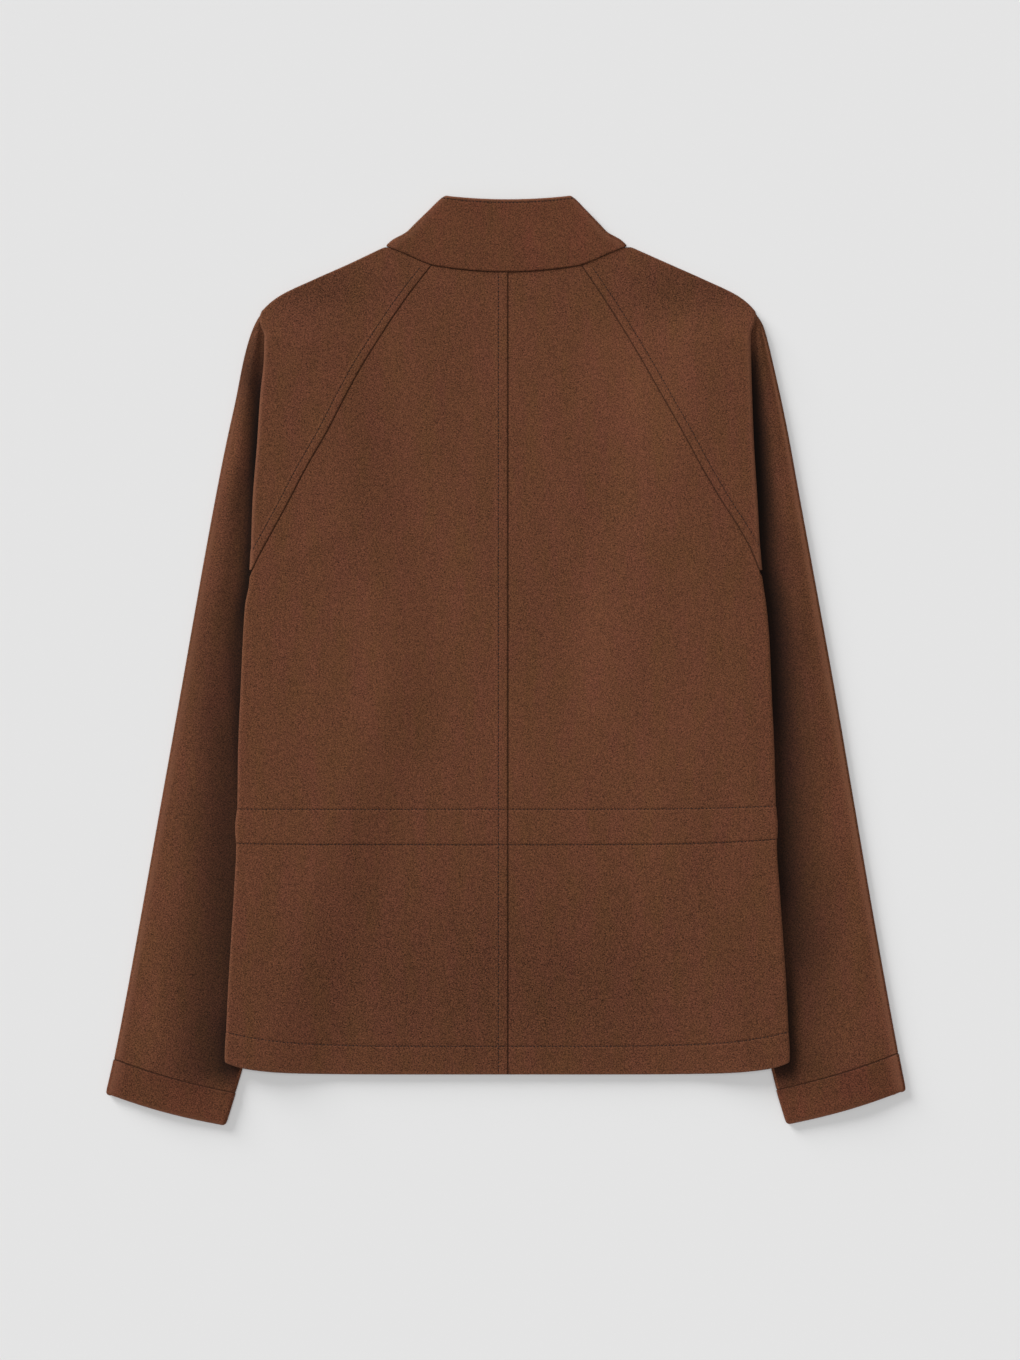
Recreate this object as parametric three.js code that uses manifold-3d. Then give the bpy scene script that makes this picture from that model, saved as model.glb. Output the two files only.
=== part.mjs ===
// Suede jacket with raglan sleeves and a stand collar, lying flat with its back up.
// Millimetres. X runs to the right, Y towards the collar, and Z up from the surface it lies on.
// Left and right are those of the view from above.

import * as THREE from "three";
import { mergeVertices } from "three/addons/utils/BufferGeometryUtils.js";
import Module from "manifold-3d";

// Driving dimensions
const CLOTH = 1.6;
const COLLAR_CLOTH = 2.4;
const CUFF_CLOTH = 1.9;
const LAYER_AIR = 1.8;
const SEAM_GAP = 0.3;
const BACK_LENGTH = 658.9;
const NAPE_Y = 319.4;
const CENTRE_BACK_X = 1.2;
const RAGLAN_TOP = { d: 61.5, y: 325.1 };
const FRONT_NECK_Y = 263;
const FRONT_OPENING = 1;
const COLLAR_BASE = 99.4;
const COLLAR_DIP_Y = 379.1;
const COLLAR_CORNER_Y = 382.0;
const COLLAR_FRONT_TOP_Y = 321;
const SEAM_STRIP = 7;
const RAGLAN_STRIP = 8.6;
const STRIP_EASE = 1.8;
const STRIP_RISE = 0.45;
const CUFF_SEAM = { left: -326.8, right: -322.3 };
const CUFF_END = { left: -354.8, right: -351.8 };
const CUFF_BOW = 2.2;
const CUFF_STEP = 0.4;
const ARM_CROWN = 1.7;
const CUFF_ROWS = 3;
const SUEDE_BROWN = 0x5b3522;

// Worked out from the driving dimensions
const LAYER_STEP = CLOTH + LAYER_AIR;
const FOLD_RADIUS = LAYER_STEP / 2;
const EDGE_REACH = FOLD_RADIUS + CLOTH / 2;
const LAID_HEIGHT = LAYER_STEP + CLOTH;
const HEM_Y = NAPE_Y - BACK_LENGTH;

// The body and the sleeve heads lie on the lowered arms, and run down to the surface inside them.
const ARM_LIFT = LAID_HEIGHT + SEAM_GAP;
const LIFT_MARGIN = 12;
const LIFT_RAMP = 66;
const LIFT_TOP_Y = 305;
const LIFT_RUN = 47;

// Distance from the centre line to the body's outer edge: the shoulder, then the edge of the
// sleeve's pleat, then the side seam with its small swelling at the waist channel.
const UPPER_EDGE = [
  { y: 345, left: 88.0, right: 90.4 },
  { y: 338.7, left: 102.1, right: 104.5 },
  { y: 325.5, left: 130.0, right: 134.1 },
  { y: 312.4, left: 159.5, right: 163.6 },
  { y: 299.3, left: 186.8, right: 190.6 },
  { y: 291, left: 197.2, right: 200.8 },
  { y: 284, left: 202.4, right: 205.4 },
  { y: 277, left: 202.2, right: 203.8 },
  { y: 267, left: 198.6, right: 200.4 },
  { y: 250, left: 198.9, right: 200.6 },
  { y: 216.5, left: 202.1, right: 201.5 },
  { y: 177.9, left: 204.6, right: 203.0 },
  { y: 129.6, left: 208.3, right: 206.0 },
  { y: 82, left: 210.0, right: 208.6 },
  { y: 62, left: 211.5, right: 210.9 },
  { y: 45, left: 214.7, right: 213.4 },
  { y: 19.7, left: 216.3, right: 215.7 },
  { y: -27.9, left: 218.5, right: 217.8 },
  { y: -75.4, left: 220.4, right: 220.0 },
  { y: -120, left: 221.0, right: 221.3 },
  { y: -136, left: 222.6, right: 222.6 },
  { y: -151, left: 221.9, right: 222.0 },
  { y: -187, left: 223.6, right: 224.3 },
  { y: -265.7, left: 228.4, right: 229.7 },
  { y: -304.2, left: 230.2, right: 231.6 },
  { y: -326, left: 231.2, right: 232.5 },
  { y: -332, left: 230.4, right: 231.4 },
];

// Distance from the centre line to the seam between body and sleeve: along the neck, then raglan.
const RAGLAN = [
  { y: 325.1, left: 61.5, right: 61.5 },
  { y: 303, left: 78.9, right: 76.7 },
  { y: 269.4, left: 101.9, right: 98.0 },
  { y: 240.3, left: 119.9, right: 115.2 },
  { y: 215.2, left: 133.3, right: 129.2 },
  { y: 191.1, left: 145.5, right: 142.8 },
  { y: 156.6, left: 165.2, right: 161.5 },
  { y: 129.6, left: 179.2, right: 177.5 },
  { y: 107, left: 191.5, right: 192.0 },
  { y: 89, left: 201.3, right: 201.6 },
  { y: 74.6, left: 208.3, right: 207.2 },
  { y: 58, left: 213.5, right: 213.0 },
];
const NECK_SIDE = [
  { d: 61.5, y: 325.1 },
  { d: 70, y: 328.1 },
  { d: 81, y: 333.2 },
  { d: COLLAR_BASE, y: 340.7 },
];

// The lowered arm: its outer fold, and its inner edge, which is hidden under the body.
const ARM_OUTER = [
  { y: 292, left: 192.4, right: 196.4 },
  { y: 284, left: 202.2, right: 205.6 },
  { y: 276, left: 207.0, right: 210.6 },
  { y: 263.2, left: 211.8, right: 214.6 },
  { y: 246.8, left: 216.1, right: 218.5 },
  { y: 214, left: 222.6, right: 225.9 },
  { y: 181.2, left: 229.8, right: 232.5 },
  { y: 148.4, left: 236.4, right: 238.4 },
  { y: 99.2, left: 245.6, right: 247.4 },
  { y: 50, left: 254.4, right: 256.4 },
  { y: -32, left: 268.8, right: 271.2 },
  { y: -114, left: 283.4, right: 285.2 },
  { y: -196, left: 298.0, right: 299.2 },
  { y: -278, left: 312.9, right: 313.8 },
  { y: -327, left: 322.5, right: 322.9 },
  { y: -355, left: 328.9, right: 326.8 },
];
const ARM_INNER = [
  { y: 292, left: 181.0, right: 182.0 },
  { y: 191, left: 161.7, right: 162.0 },
  { y: 107, left: 143.6, right: 143.6 },
  { y: 40, left: 129.0, right: 129.0 },
  { y: -11, left: 119.5, right: 119.5 },
  { y: -81, left: 139.5, right: 139.8 },
  { y: -200, left: 175.7, right: 176.4 },
  { y: -335, left: 216.9, right: 217.6 },
  { y: -354, left: 222.6, right: 222.4 },
  { y: -380, left: 230.6, right: 230.2 },
];
// How much lower a section across the arm ends at its inner edge than at its outer fold.
const ARM_SLANT = [
  { y: 100, left: 0, right: 0 },
  { y: -90, left: 11, right: 12 },
  { y: -327, left: 27, right: 30.3 },
  { y: -355, left: 25, right: 27.4 },
];

// Half the collar's width at each height of its folded side.
const COLLAR_EDGE = [
  { y: 340.7, d: COLLAR_BASE },
  { y: 345.2, d: 94.6 },
  { y: 351.8, d: 83.2 },
  { y: 358.3, d: 76.8 },
  { y: 371.5, d: 63.8 },
  { y: 378.6, d: 56.9 },
  { y: 380.8, d: 54.2 },
  { y: 382.0, d: 50.8 },
];

// Rows of the body's panels. edge is the height at the outer edge and drop how much lower the row
// is at the centre; bend is the power that it falls with; rise is 1 on the channel and the hem.
const RAGLAN_ROWS = [
  325.1, 316, 306, 297, 290, 283, 276, 269, 258, 242, 222, 200, 176, 152, 129.6, 107, 89, 74.6,
];
const SIDE_ROWS = [
  { edge: 64, drop: 0, bend: 2, rise: 0 },
  { edge: 45, drop: 0, bend: 2, rise: 0 },
  { edge: 10, drop: 0, bend: 2, rise: 0 },
  { edge: -40, drop: 0, bend: 2, rise: 0 },
  { edge: -90, drop: 0, bend: 2, rise: 0 },
  { edge: -118.6, drop: 0.4, bend: 2, rise: 0 },
  { edge: -121.4, drop: 0.4, bend: 2, rise: 1 },
  { edge: -136, drop: 0.4, bend: 2, rise: 1 },
  { edge: -149, drop: 1.6, bend: 2, rise: 1 },
  { edge: -151.8, drop: 1.6, bend: 2, rise: 0 },
  { edge: -200, drop: 1, bend: 3, rise: 0 },
  { edge: -255, drop: 5, bend: 4, rise: 0 },
  { edge: -302.5, drop: 12.4, bend: 5, rise: 0 },
  { edge: -305.3, drop: 12.6, bend: 5, rise: 1 },
  { edge: -322, drop: 10.6, bend: 6, rise: 1 },
  { edge: -331, drop: -331 - HEM_Y, bend: 7, rise: 1 },
];
// The neck's curve fades out of the rows below it over these heights, with these powers.
const BACK_NECK = { y: NAPE_Y, bend: 2, fade: 60 };
const FRONT_NECK = { y: FRONT_NECK_Y, bend: 1.6, fade: 150 };

// Heights of the arm's outer fold at its sections, from the top of the pleat to above the cuff.
const ARM_ROWS = [292, 284, 276, 266, 250, 225, 190, 150, 105, 60, 15, -30, -80, -140, -200, -260];
const HEAD_TOP_ROWS = [339.7, 338, 332, 328.4];
const COLLAR_ROWS = [0, 0.12, 0.3, 0.6, 0.85, 0.95, 1];

// The root strip of the pleat, hidden where the head turns back under itself.
const PLEAT_ROOT = { top: 252, bottom: 196, inset: 11, width: 8 };

// Widths of the stretches that hold the stations of a fold or a seam strip on short rows.
const FOLD_STRETCH = 2.5;
const LEAST_STRETCH = 0.8;
const STRIP_SHARE = 0.35;
const STRIP_EASE_SHARE = 0.6;
// Above this height the panels' stations are evenly spaced, blended in over the run below it.
const EVEN_FROM = { y: 215, run: 85 };

/** Smooth step from 0 to 1 as t goes from 0 to 1. */
function ease(t) {
  const k = Math.min(1, Math.max(0, t));
  return k * k * (3 - 2 * k);
}

/** A column of a table at a key, on a curve that never overshoots the rows. */
function at(table, column, key, keyColumn = "y") {
  const rows = table[0][keyColumn] < table[1][keyColumn] ? table : [...table].reverse();
  const last = rows.length - 1;
  if (key <= rows[0][keyColumn]) return rows[0][column];
  if (key >= rows[last][keyColumn]) return rows[last][column];
  const i = rows.findIndex((row) => row[keyColumn] > key) - 1;
  const step = (k) => rows[k + 1][keyColumn] - rows[k][keyColumn];
  const slope = (k) => (rows[k + 1][column] - rows[k][column]) / step(k);
  const tangent = (k) => {
    if (k === 0) return slope(0);
    if (k === last) return slope(last - 1);
    const [before, after] = [slope(k - 1), slope(k)];
    return before * after <= 0 ? 0 : (2 * before * after) / (before + after);
  };
  const h = step(i);
  const t = (key - rows[i][keyColumn]) / h;
  const [a, b] = [rows[i][column], rows[i + 1][column]];
  const [p, q] = [tangent(i) * h, tangent(i + 1) * h];
  return (
    a * (1 + 2 * t) * (1 - t) ** 2 + b * t * t * (3 - 2 * t) + p * t * (1 - t) ** 2 - q * t * t * (1 - t)
  );
}

/** count + 1 evenly spaced values from a to b. */
function steps(a, b, count) {
  return Array.from({ length: count + 1 }, (_, i) => a + ((b - a) * i) / count);
}

/** Joins runs of stations, keeping each shared end once. */
function chain(...runs) {
  return runs.flatMap((run, i) => (i ? run.slice(1) : run));
}

/** A closed solid between an outer and an inner grid of points, wrapped round if asked. */
function solidBetween(outer, inner, wrapped) {
  const rows = outer.length;
  const columns = outer[0].length;
  const positions = [...outer.flat(), ...inner.flat()].flatMap((p) => [p.x, p.y, p.z]);
  const index = [];
  const node = (layer, v, u) => (layer * rows + v) * columns + (u % columns);
  const quad = (a, b, c, d) => index.push(a, b, c, a, c, d);
  const across = wrapped ? columns : columns - 1;
  for (let v = 0; v < rows - 1; v++) {
    for (let u = 0; u < across; u++) {
      quad(node(0, v, u), node(0, v, u + 1), node(0, v + 1, u + 1), node(0, v + 1, u));
      quad(node(1, v, u), node(1, v + 1, u), node(1, v + 1, u + 1), node(1, v, u + 1));
    }
    if (!wrapped) {
      quad(node(0, v, 0), node(0, v + 1, 0), node(1, v + 1, 0), node(1, v, 0));
      const u = columns - 1;
      quad(node(0, v, u), node(1, v, u), node(1, v + 1, u), node(0, v + 1, u));
    }
  }
  for (let u = 0; u < across; u++) {
    quad(node(0, 0, u), node(1, 0, u), node(1, 0, u + 1), node(0, 0, u + 1));
    const v = rows - 1;
    quad(node(0, v, u), node(0, v, u + 1), node(1, v, u + 1), node(1, v, u));
  }
  const geometry = new THREE.BufferGeometry();
  geometry.setAttribute("position", new THREE.Float32BufferAttribute(positions, 3));
  geometry.setIndex(index);
  return facingOut(geometry);
}

/** Turns a closed geometry's faces outward, by the sign of its volume. */
function facingOut(geometry) {
  const p = geometry.attributes.position;
  const index = geometry.index.array;
  const corner = (i) => new THREE.Vector3().fromBufferAttribute(p, index[i]);
  let volume = 0;
  for (let i = 0; i < index.length; i += 3) {
    volume += corner(i).dot(corner(i + 1).cross(corner(i + 2)));
  }
  if (volume < 0) {
    for (let i = 0; i < index.length; i += 3) {
      [index[i + 1], index[i + 2]] = [index[i + 2], index[i + 1]];
    }
  }
  return geometry;
}

/**
 * A cloth wall. sheet(a, b) is its middle surface, stations(j) the values of a along row j and
 * rowKey(j, a) the value of b there; rise(j, i) raises the outer face.
 */
function clothWall({ rows, sheet, stations, rowKey, cloth, turn, wrapped = false, rise = () => 0 }) {
  const H = 0.02;
  const outer = [];
  const inner = [];
  for (let j = 0; j < rows; j++) {
    const along = stations(j);
    const lift = along.map((a, i) => {
      const b = rowKey(j, a);
      const middle = sheet(a, b);
      const da = sheet(a + H, b).sub(sheet(a - H, b));
      const db = sheet(a, b + H).sub(sheet(a, b - H));
      const normal = da.cross(db).normalize().multiplyScalar(turn);
      return {
        outer: middle.clone().addScaledVector(normal, cloth / 2 + rise(j, i)),
        inner: middle.clone().addScaledVector(normal, -cloth / 2),
      };
    });
    outer.push(lift.map((p) => p.outer));
    inner.push(lift.map((p) => p.inner));
  }
  return solidBetween(outer, inner, wrapped);
}

/** How far the upper layers are raised by the arm that lies under them. */
function armLift(side, d, y) {
  const inside = at(ARM_INNER, side, y) - LIFT_MARGIN - LIFT_RAMP;
  return ARM_LIFT * ease((d - inside) / LIFT_RAMP) * ease((LIFT_TOP_Y - y) / LIFT_RUN);
}

/**
 * The body and sleeve head as one flattened tube. s runs from the centre line over the back,
 * round the folded edge and back under the front.
 */
function upperPoint(side, s, y) {
  const centre = foldStart(side, y);
  const turnEnd = centre + Math.PI * FOLD_RADIUS;
  let d = s;
  let z = CLOTH / 2 + LAYER_STEP;
  if (s > turnEnd) {
    d = centre + turnEnd - s;
    z = CLOTH / 2;
  } else if (s > centre) {
    const angle = (s - centre) / FOLD_RADIUS;
    d = centre + FOLD_RADIUS * Math.sin(angle);
    z = CLOTH / 2 + FOLD_RADIUS * (1 + Math.cos(angle));
  }
  return new THREE.Vector3(sign(side) * d, y, z + armLift(side, Math.abs(d), y));
}

function sign(side) {
  return side === "left" ? -1 : 1;
}

/** Where the path begins to turn round the folded edge. */
function foldStart(side, y) {
  return at(UPPER_EDGE, side, y) - EDGE_REACH;
}

/** Length of the whole path over the edge, from the centre line of the back to that of the front. */
function pathLength(side, y) {
  return 2 * foldStart(side, y) + Math.PI * FOLD_RADIUS;
}

/** Where the seam between body and sleeve, or the side seam below the arm, lies on that path. */
function seamAt(side, y) {
  const centre = foldStart(side, y);
  if (y <= RAGLAN.at(-1).y) return centre + (FOLD_RADIUS * Math.PI) / 2;
  const d = y > RAGLAN_TOP.y ? at(NECK_SIDE, "d", y) : at(RAGLAN, side, y);
  if (d <= centre) return d;
  const reach = Math.min(1, (d - centre) / FOLD_RADIUS);
  return centre + FOLD_RADIUS * Math.asin(reach);
}

/** Height of a panel row at a place along it: the centre's height, rising outward by a power. */
function rowHeight(row, share) {
  return row.edge - row.drop + row.drop * Math.abs(share) ** row.bend;
}

/** The rows of a panel below its neck, which lies at a given height on the centre line. */
function panelRows(neck) {
  const raglan = RAGLAN_ROWS.map((edge) => {
    const drop = (RAGLAN_TOP.y - neck.y) * (1 - ease((RAGLAN_TOP.y - edge) / neck.fade));
    return { edge, drop, bend: neck.bend, rise: 0 };
  });
  return [...raglan, ...SIDE_ROWS];
}

/** Stations over the slope where a panel climbs onto the arm, even at the neck, above the slope. */
function slopeStations(side, y, a, b) {
  const foot = at(ARM_INNER, side, y) - LIFT_MARGIN - LIFT_RAMP;
  const wanted = [foot / 2, foot, foot + 0.35 * LIFT_RAMP, foot + 0.7 * LIFT_RAMP, foot + LIFT_RAMP];
  const apart = (b - a) / 12;
  const even = ease((y - EVEN_FROM.y) / EVEN_FROM.run);
  return wanted.map((d, k) => {
    const least = a + (k + 1) * apart;
    const most = b - (wanted.length - k) * apart;
    const placed = Math.min(most, Math.max(least, d));
    return placed + (a + ((b - a) * (k + 1)) / (wanted.length + 1) - placed) * even;
  });
}

/** Stations of a panel row from its centre edge to its seam, with a close set at the fold. */
function panelStations(side, row, start, strip) {
  const end = seamAt(side, row.edge) - SEAM_GAP / 2;
  const fold = Math.min(foldStart(side, row.edge), end - FOLD_STRETCH);
  const edges = strip ? [start, start + strip, start + strip + STRIP_EASE] : [start];
  const slope = slopeStations(side, row.edge, edges.at(-1), fold);
  return [...edges, ...slope, ...steps(fold, end, 3)];
}

/** Half of the back, from the centre-back seam to the raglan and side seams. */
function backPanel(side) {
  const rows = panelRows(BACK_NECK);
  const start = sign(side) * CENTRE_BACK_X + SEAM_GAP / 2;
  const strip = side === "left" ? SEAM_STRIP : 0;
  return clothWall({
    rows: rows.length,
    cloth: CLOTH,
    turn: sign(side),
    sheet: (s, y) => upperPoint(side, s, y),
    stations: (j) => panelStations(side, rows[j], start, strip),
    rowKey: (j, s) => rowHeight(rows[j], s / seamAt(side, rows[j].edge)),
    rise: (j, i) => STRIP_RISE * Math.max(rows[j].rise, strip && i < 2 ? 1 : 0),
  });
}

/** One front, from the centre opening to the raglan and side seams, under the back. */
function frontPanel(side) {
  const rows = panelRows(FRONT_NECK);
  const start = sign(side) * CENTRE_BACK_X + FRONT_OPENING / 2;
  return clothWall({
    rows: rows.length,
    cloth: CLOTH,
    turn: -sign(side),
    sheet: (q, y) => upperPoint(side, pathLength(side, y) - q, y),
    stations: (j) => panelStations(side, rows[j], start, 0),
    rowKey: (j, q) => rowHeight(rows[j], q / seamAt(side, rows[j].edge)),
  });
}

/** The sleeve's head: over the shoulder from the back raglan seam round to the front one. */
function sleeveHead(side) {
  const heights = [...HEAD_TOP_ROWS, ...RAGLAN_ROWS];
  return clothWall({
    rows: heights.length,
    cloth: CLOTH,
    turn: sign(side),
    sheet: (s, y) => upperPoint(side, s, y),
    stations: (j) => {
      const y = heights[j];
      const whole = pathLength(side, y);
      const start = seamAt(side, y) + SEAM_GAP / 2;
      const fold = Math.max(foldStart(side, y), start + LEAST_STRETCH);
      const room = fold - start;
      const strip = start + Math.min(RAGLAN_STRIP, STRIP_SHARE * room);
      const stripFoot = start + Math.min(RAGLAN_STRIP + STRIP_EASE, STRIP_EASE_SHARE * room);
      return chain(
        [start, strip, stripFoot],
        steps(stripFoot, fold, 3),
        steps(fold, whole - fold, 4),
        steps(whole - fold, whole - start, 3),
      );
    },
    rowKey: (j) => heights[j],
    rise: (j, i) => (i < 2 && heights[j] < RAGLAN_TOP.y ? STRIP_RISE : 0),
  });
}

/** How far the arm's upper layer swells between the body's edge and its own outer fold. */
function armCrown(side, d, y) {
  const inside = Math.max(at(UPPER_EDGE, side, y) + 2, at(ARM_INNER, side, y) + 3);
  const share = (d - inside) / (at(ARM_OUTER, side, y) - 3 - inside);
  return ARM_CROWN * ease(share / 0.6) * ease((1 - share) / 0.4);
}

/**
 * The lowered arm as a flattened tube. t runs 0 to 1 over the top from the outer fold, 1 to 2
 * round the inner edge, 2 to 3 back below, and 3 to 4 round the outer fold; y is the height of
 * the section's outer end.
 */
function armPoint(side, t, y, cloth, grow) {
  const outer = new THREE.Vector2(at(ARM_OUTER, side, y) + grow, y);
  const innerY = y - at(ARM_SLANT, side, y);
  const inner = new THREE.Vector2(at(ARM_INNER, side, innerY) - grow, innerY);
  const width = outer.distanceTo(inner);
  const radius = (LAID_HEIGHT - cloth) / 2 + grow / 2;
  const reach = radius + cloth / 2;
  const turn = ((t % 4) + 4) % 4;
  const middle = cloth / 2 + radius;
  let a = reach;
  let z = middle;
  if (turn < 1) {
    a = reach + (width - 2 * reach) * turn;
    const over = outer.clone().lerp(inner, a / width);
    z = middle + radius + armCrown(side, over.x, over.y);
  } else if (turn < 2) {
    a = width - reach + radius * Math.sin(Math.PI * (turn - 1));
    z = middle + radius * Math.cos(Math.PI * (turn - 1));
  } else if (turn < 3) {
    a = width - reach - (width - 2 * reach) * (turn - 2);
    z = middle - radius;
  } else {
    a = reach - radius * Math.sin(Math.PI * (turn - 3));
    z = middle - radius * Math.cos(Math.PI * (turn - 3));
  }
  const share = a / width;
  const bow = CUFF_BOW * ease((-150 - y) / 170) * 4 * share * (1 - share);
  const plan = outer.clone().lerp(inner, share);
  return new THREE.Vector3(sign(side) * plan.x, plan.y - bow, z);
}

/** A closed length of the arm between two heights of its outer fold. */
function armTube(side, heights, cloth, grow) {
  const round = [
    ...steps(0, 1, 9).slice(0, -1),
    ...steps(1, 2, 4).slice(0, -1),
    ...steps(2, 3, 5).slice(0, -1),
    ...steps(3, 4, 4).slice(0, -1),
  ];
  return clothWall({
    rows: heights.length,
    cloth,
    turn: -sign(side),
    wrapped: true,
    sheet: (t, y) => armPoint(side, t, y, cloth, grow),
    stations: () => round,
    rowKey: (j) => heights[j],
  });
}

/** The strip where the head's under layer turns into the arm's upper one, hidden in the pleat. */
function pleatRoot(side) {
  const [a, b] = [PLEAT_ROOT.top, PLEAT_ROOT.bottom].map((y) => {
    const d = at(ARM_INNER, side, y) + PLEAT_ROOT.inset;
    return new THREE.Vector2(sign(side) * d, y);
  });
  const depth = SEAM_GAP + CLOTH;
  const root = new THREE.BoxGeometry(PLEAT_ROOT.width, a.distanceTo(b), depth);
  root.rotateZ(Math.atan2(a.y - b.y, a.x - b.x) - Math.PI / 2);
  root.translate((a.x + b.x) / 2, (a.y + b.y) / 2, LAID_HEIGHT + SEAM_GAP / 2);
  return root;
}

const wasm = await Module();
wasm.setup();

/** A geometry as a manifold solid. */
function toSolid(geometry) {
  const bare = geometry.clone();
  bare.deleteAttribute("normal");
  bare.deleteAttribute("uv");
  const merged = mergeVertices(bare, 1e-4);
  const mesh = new wasm.Mesh({
    numProp: 3,
    vertProperties: new Float32Array(merged.attributes.position.array),
    triVerts: new Uint32Array(merged.index.array),
  });
  return new wasm.Manifold(mesh);
}

/** A manifold solid as a geometry. */
function toGeometry(solid) {
  const mesh = solid.getMesh();
  const positions = [];
  for (let i = 0; i < mesh.numVert; i++) {
    positions.push(...mesh.vertProperties.subarray(i * mesh.numProp, i * mesh.numProp + 3));
  }
  const geometry = new THREE.BufferGeometry();
  geometry.setAttribute("position", new THREE.Float32BufferAttribute(positions, 3));
  geometry.setIndex([...mesh.triVerts]);
  return geometry;
}

/** A raglan sleeve: its head, the pleat's root and the lowered arm down to the cuff seam. */
function sleeve(side) {
  const seam = CUFF_SEAM[side] + SEAM_GAP / 2;
  const arm = toSolid(armTube(side, [...ARM_ROWS, seam], CLOTH, 0));
  return toGeometry(toSolid(sleeveHead(side)).add(arm).add(toSolid(pleatRoot(side))));
}

/** The band sewn to the sleeve's end, a little wider than the sleeve. */
function cuff(side) {
  const top = CUFF_SEAM[side] - SEAM_GAP / 2;
  return armTube(side, steps(top, CUFF_END[side], CUFF_ROWS), CUFF_CLOTH, CUFF_STEP);
}

/** Height of the neck seam, behind or in front, at a distance from the centre line. */
function neckSeam(d, neck) {
  if (d > RAGLAN_TOP.d) return at(NECK_SIDE, "y", d, "d");
  return neck.y + (RAGLAN_TOP.y - neck.y) * (d / RAGLAN_TOP.d) ** neck.bend;
}

/**
 * The stand collar as a flattened band. t runs 0 to 1 along the left front from the opening, 1 to
 * 2 round the left side, 2 to 3 over the back, 3 to 4 round the right side and 4 to 5 to the
 * opening; h runs 0 to 1 from the neck seam to the top edge.
 */
function collarPoint(t, h) {
  const base = neckSeam(COLLAR_BASE, BACK_NECK);
  const halfWidth = at(COLLAR_EDGE, "d", base + (COLLAR_CORNER_Y - base) * h);
  const radius = (LAYER_STEP + SEAM_GAP) / 2;
  const flat = halfWidth - radius - COLLAR_CLOTH / 2;
  const opening = FRONT_OPENING / 2;
  const low = COLLAR_CLOTH / 2;
  let x;
  let z = low;
  let over = 0;
  if (t <= 1) x = -(opening + (flat - opening) * t);
  else if (t >= 4) x = opening + (flat - opening) * (5 - t);
  else if (t >= 2 && t <= 3) {
    x = flat * (2 * (t - 2) - 1);
    z = low + 2 * radius;
    over = 1;
  } else {
    const left = t < 2;
    const angle = Math.PI * (left ? t - 1 : 4 - t);
    x = (left ? -1 : 1) * (flat + radius * Math.sin(angle));
    z = low + radius * (1 - Math.cos(angle));
    over = (1 - Math.cos(angle)) / 2;
  }
  const share = Math.abs(x) / halfWidth;
  const seamD = share * COLLAR_BASE;
  const backLow = neckSeam(seamD, BACK_NECK) + SEAM_GAP;
  const backTop = COLLAR_DIP_Y + (COLLAR_CORNER_Y - COLLAR_DIP_Y) * share ** 2;
  const frontLow = neckSeam(seamD, FRONT_NECK) + 2 * SEAM_GAP;
  const frontTop = COLLAR_FRONT_TOP_Y + (COLLAR_CORNER_Y - COLLAR_FRONT_TOP_Y) * share ** 1.5;
  const seamY = frontLow + (backLow - frontLow) * over;
  const topY = frontTop + (backTop - frontTop) * over;
  return new THREE.Vector3(x + CENTRE_BACK_X * h, seamY + (topY - seamY) * h, z);
}

/** The stand collar, open at the centre front. */
function collar() {
  const reach = COLLAR_BASE - (LAYER_STEP + SEAM_GAP) / 2 - COLLAR_CLOTH / 2;
  const corner = RAGLAN_TOP.d / reach;
  const front = chain(steps(0, corner, 6), steps(corner, 1, 2));
  const back = chain(steps(-1, -corner, 2), steps(-corner, corner, 8), steps(corner, 1, 2));
  const around = chain(
    front,
    steps(1, 2, 4),
    back.map((share) => 2.5 + share / 2),
    steps(3, 4, 4),
    front.map((share) => 5 - share).reverse(),
  );
  return clothWall({
    rows: COLLAR_ROWS.length,
    cloth: COLLAR_CLOTH,
    turn: 1,
    sheet: collarPoint,
    stations: () => around,
    rowKey: (j) => COLLAR_ROWS[j],
  });
}

/** A named piece of suede. */
function piece(name, geometry, shade) {
  const material = new THREE.MeshStandardMaterial({
    color: new THREE.Color(SUEDE_BROWN).multiplyScalar(shade),
    roughness: 0.95,
    metalness: 0,
  });
  const mesh = new THREE.Mesh(geometry, material);
  mesh.name = name;
  return mesh;
}

const jacket = new THREE.Group();
for (const side of ["left", "right"]) {
  jacket.add(piece("back_" + side, backPanel(side), 1));
  jacket.add(piece("front_" + side, frontPanel(side), 0.97));
  jacket.add(piece("sleeve_" + side, sleeve(side), 0.98));
  jacket.add(piece("cuff_" + side, cuff(side), 0.96));
}
jacket.add(piece("collar", collar(), 1));

// The origin is the middle of the laid jacket, on the surface it lies on.
const box = new THREE.Box3().setFromObject(jacket);
const middle = box.getCenter(new THREE.Vector3());
jacket.position.set(-middle.x, -middle.y, -box.min.z);

export default jacket;
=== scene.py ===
"""Looks of the suede jacket, which lies flat with its back up.

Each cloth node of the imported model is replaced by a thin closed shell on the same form, with a
finer grid, rolled seam edges, raised strips, stitch furrows and a few soft creases. The sizes and
tables start from those of the part's source, in millimetres, and become metres when a mesh is
made. The waist channel, the cuffs and the bottom corners are fitted a little closer to the photo.
"""

import logging
from dataclasses import dataclass, field
from enum import Enum
from functools import reduce
from typing import Callable, Sequence

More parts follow.
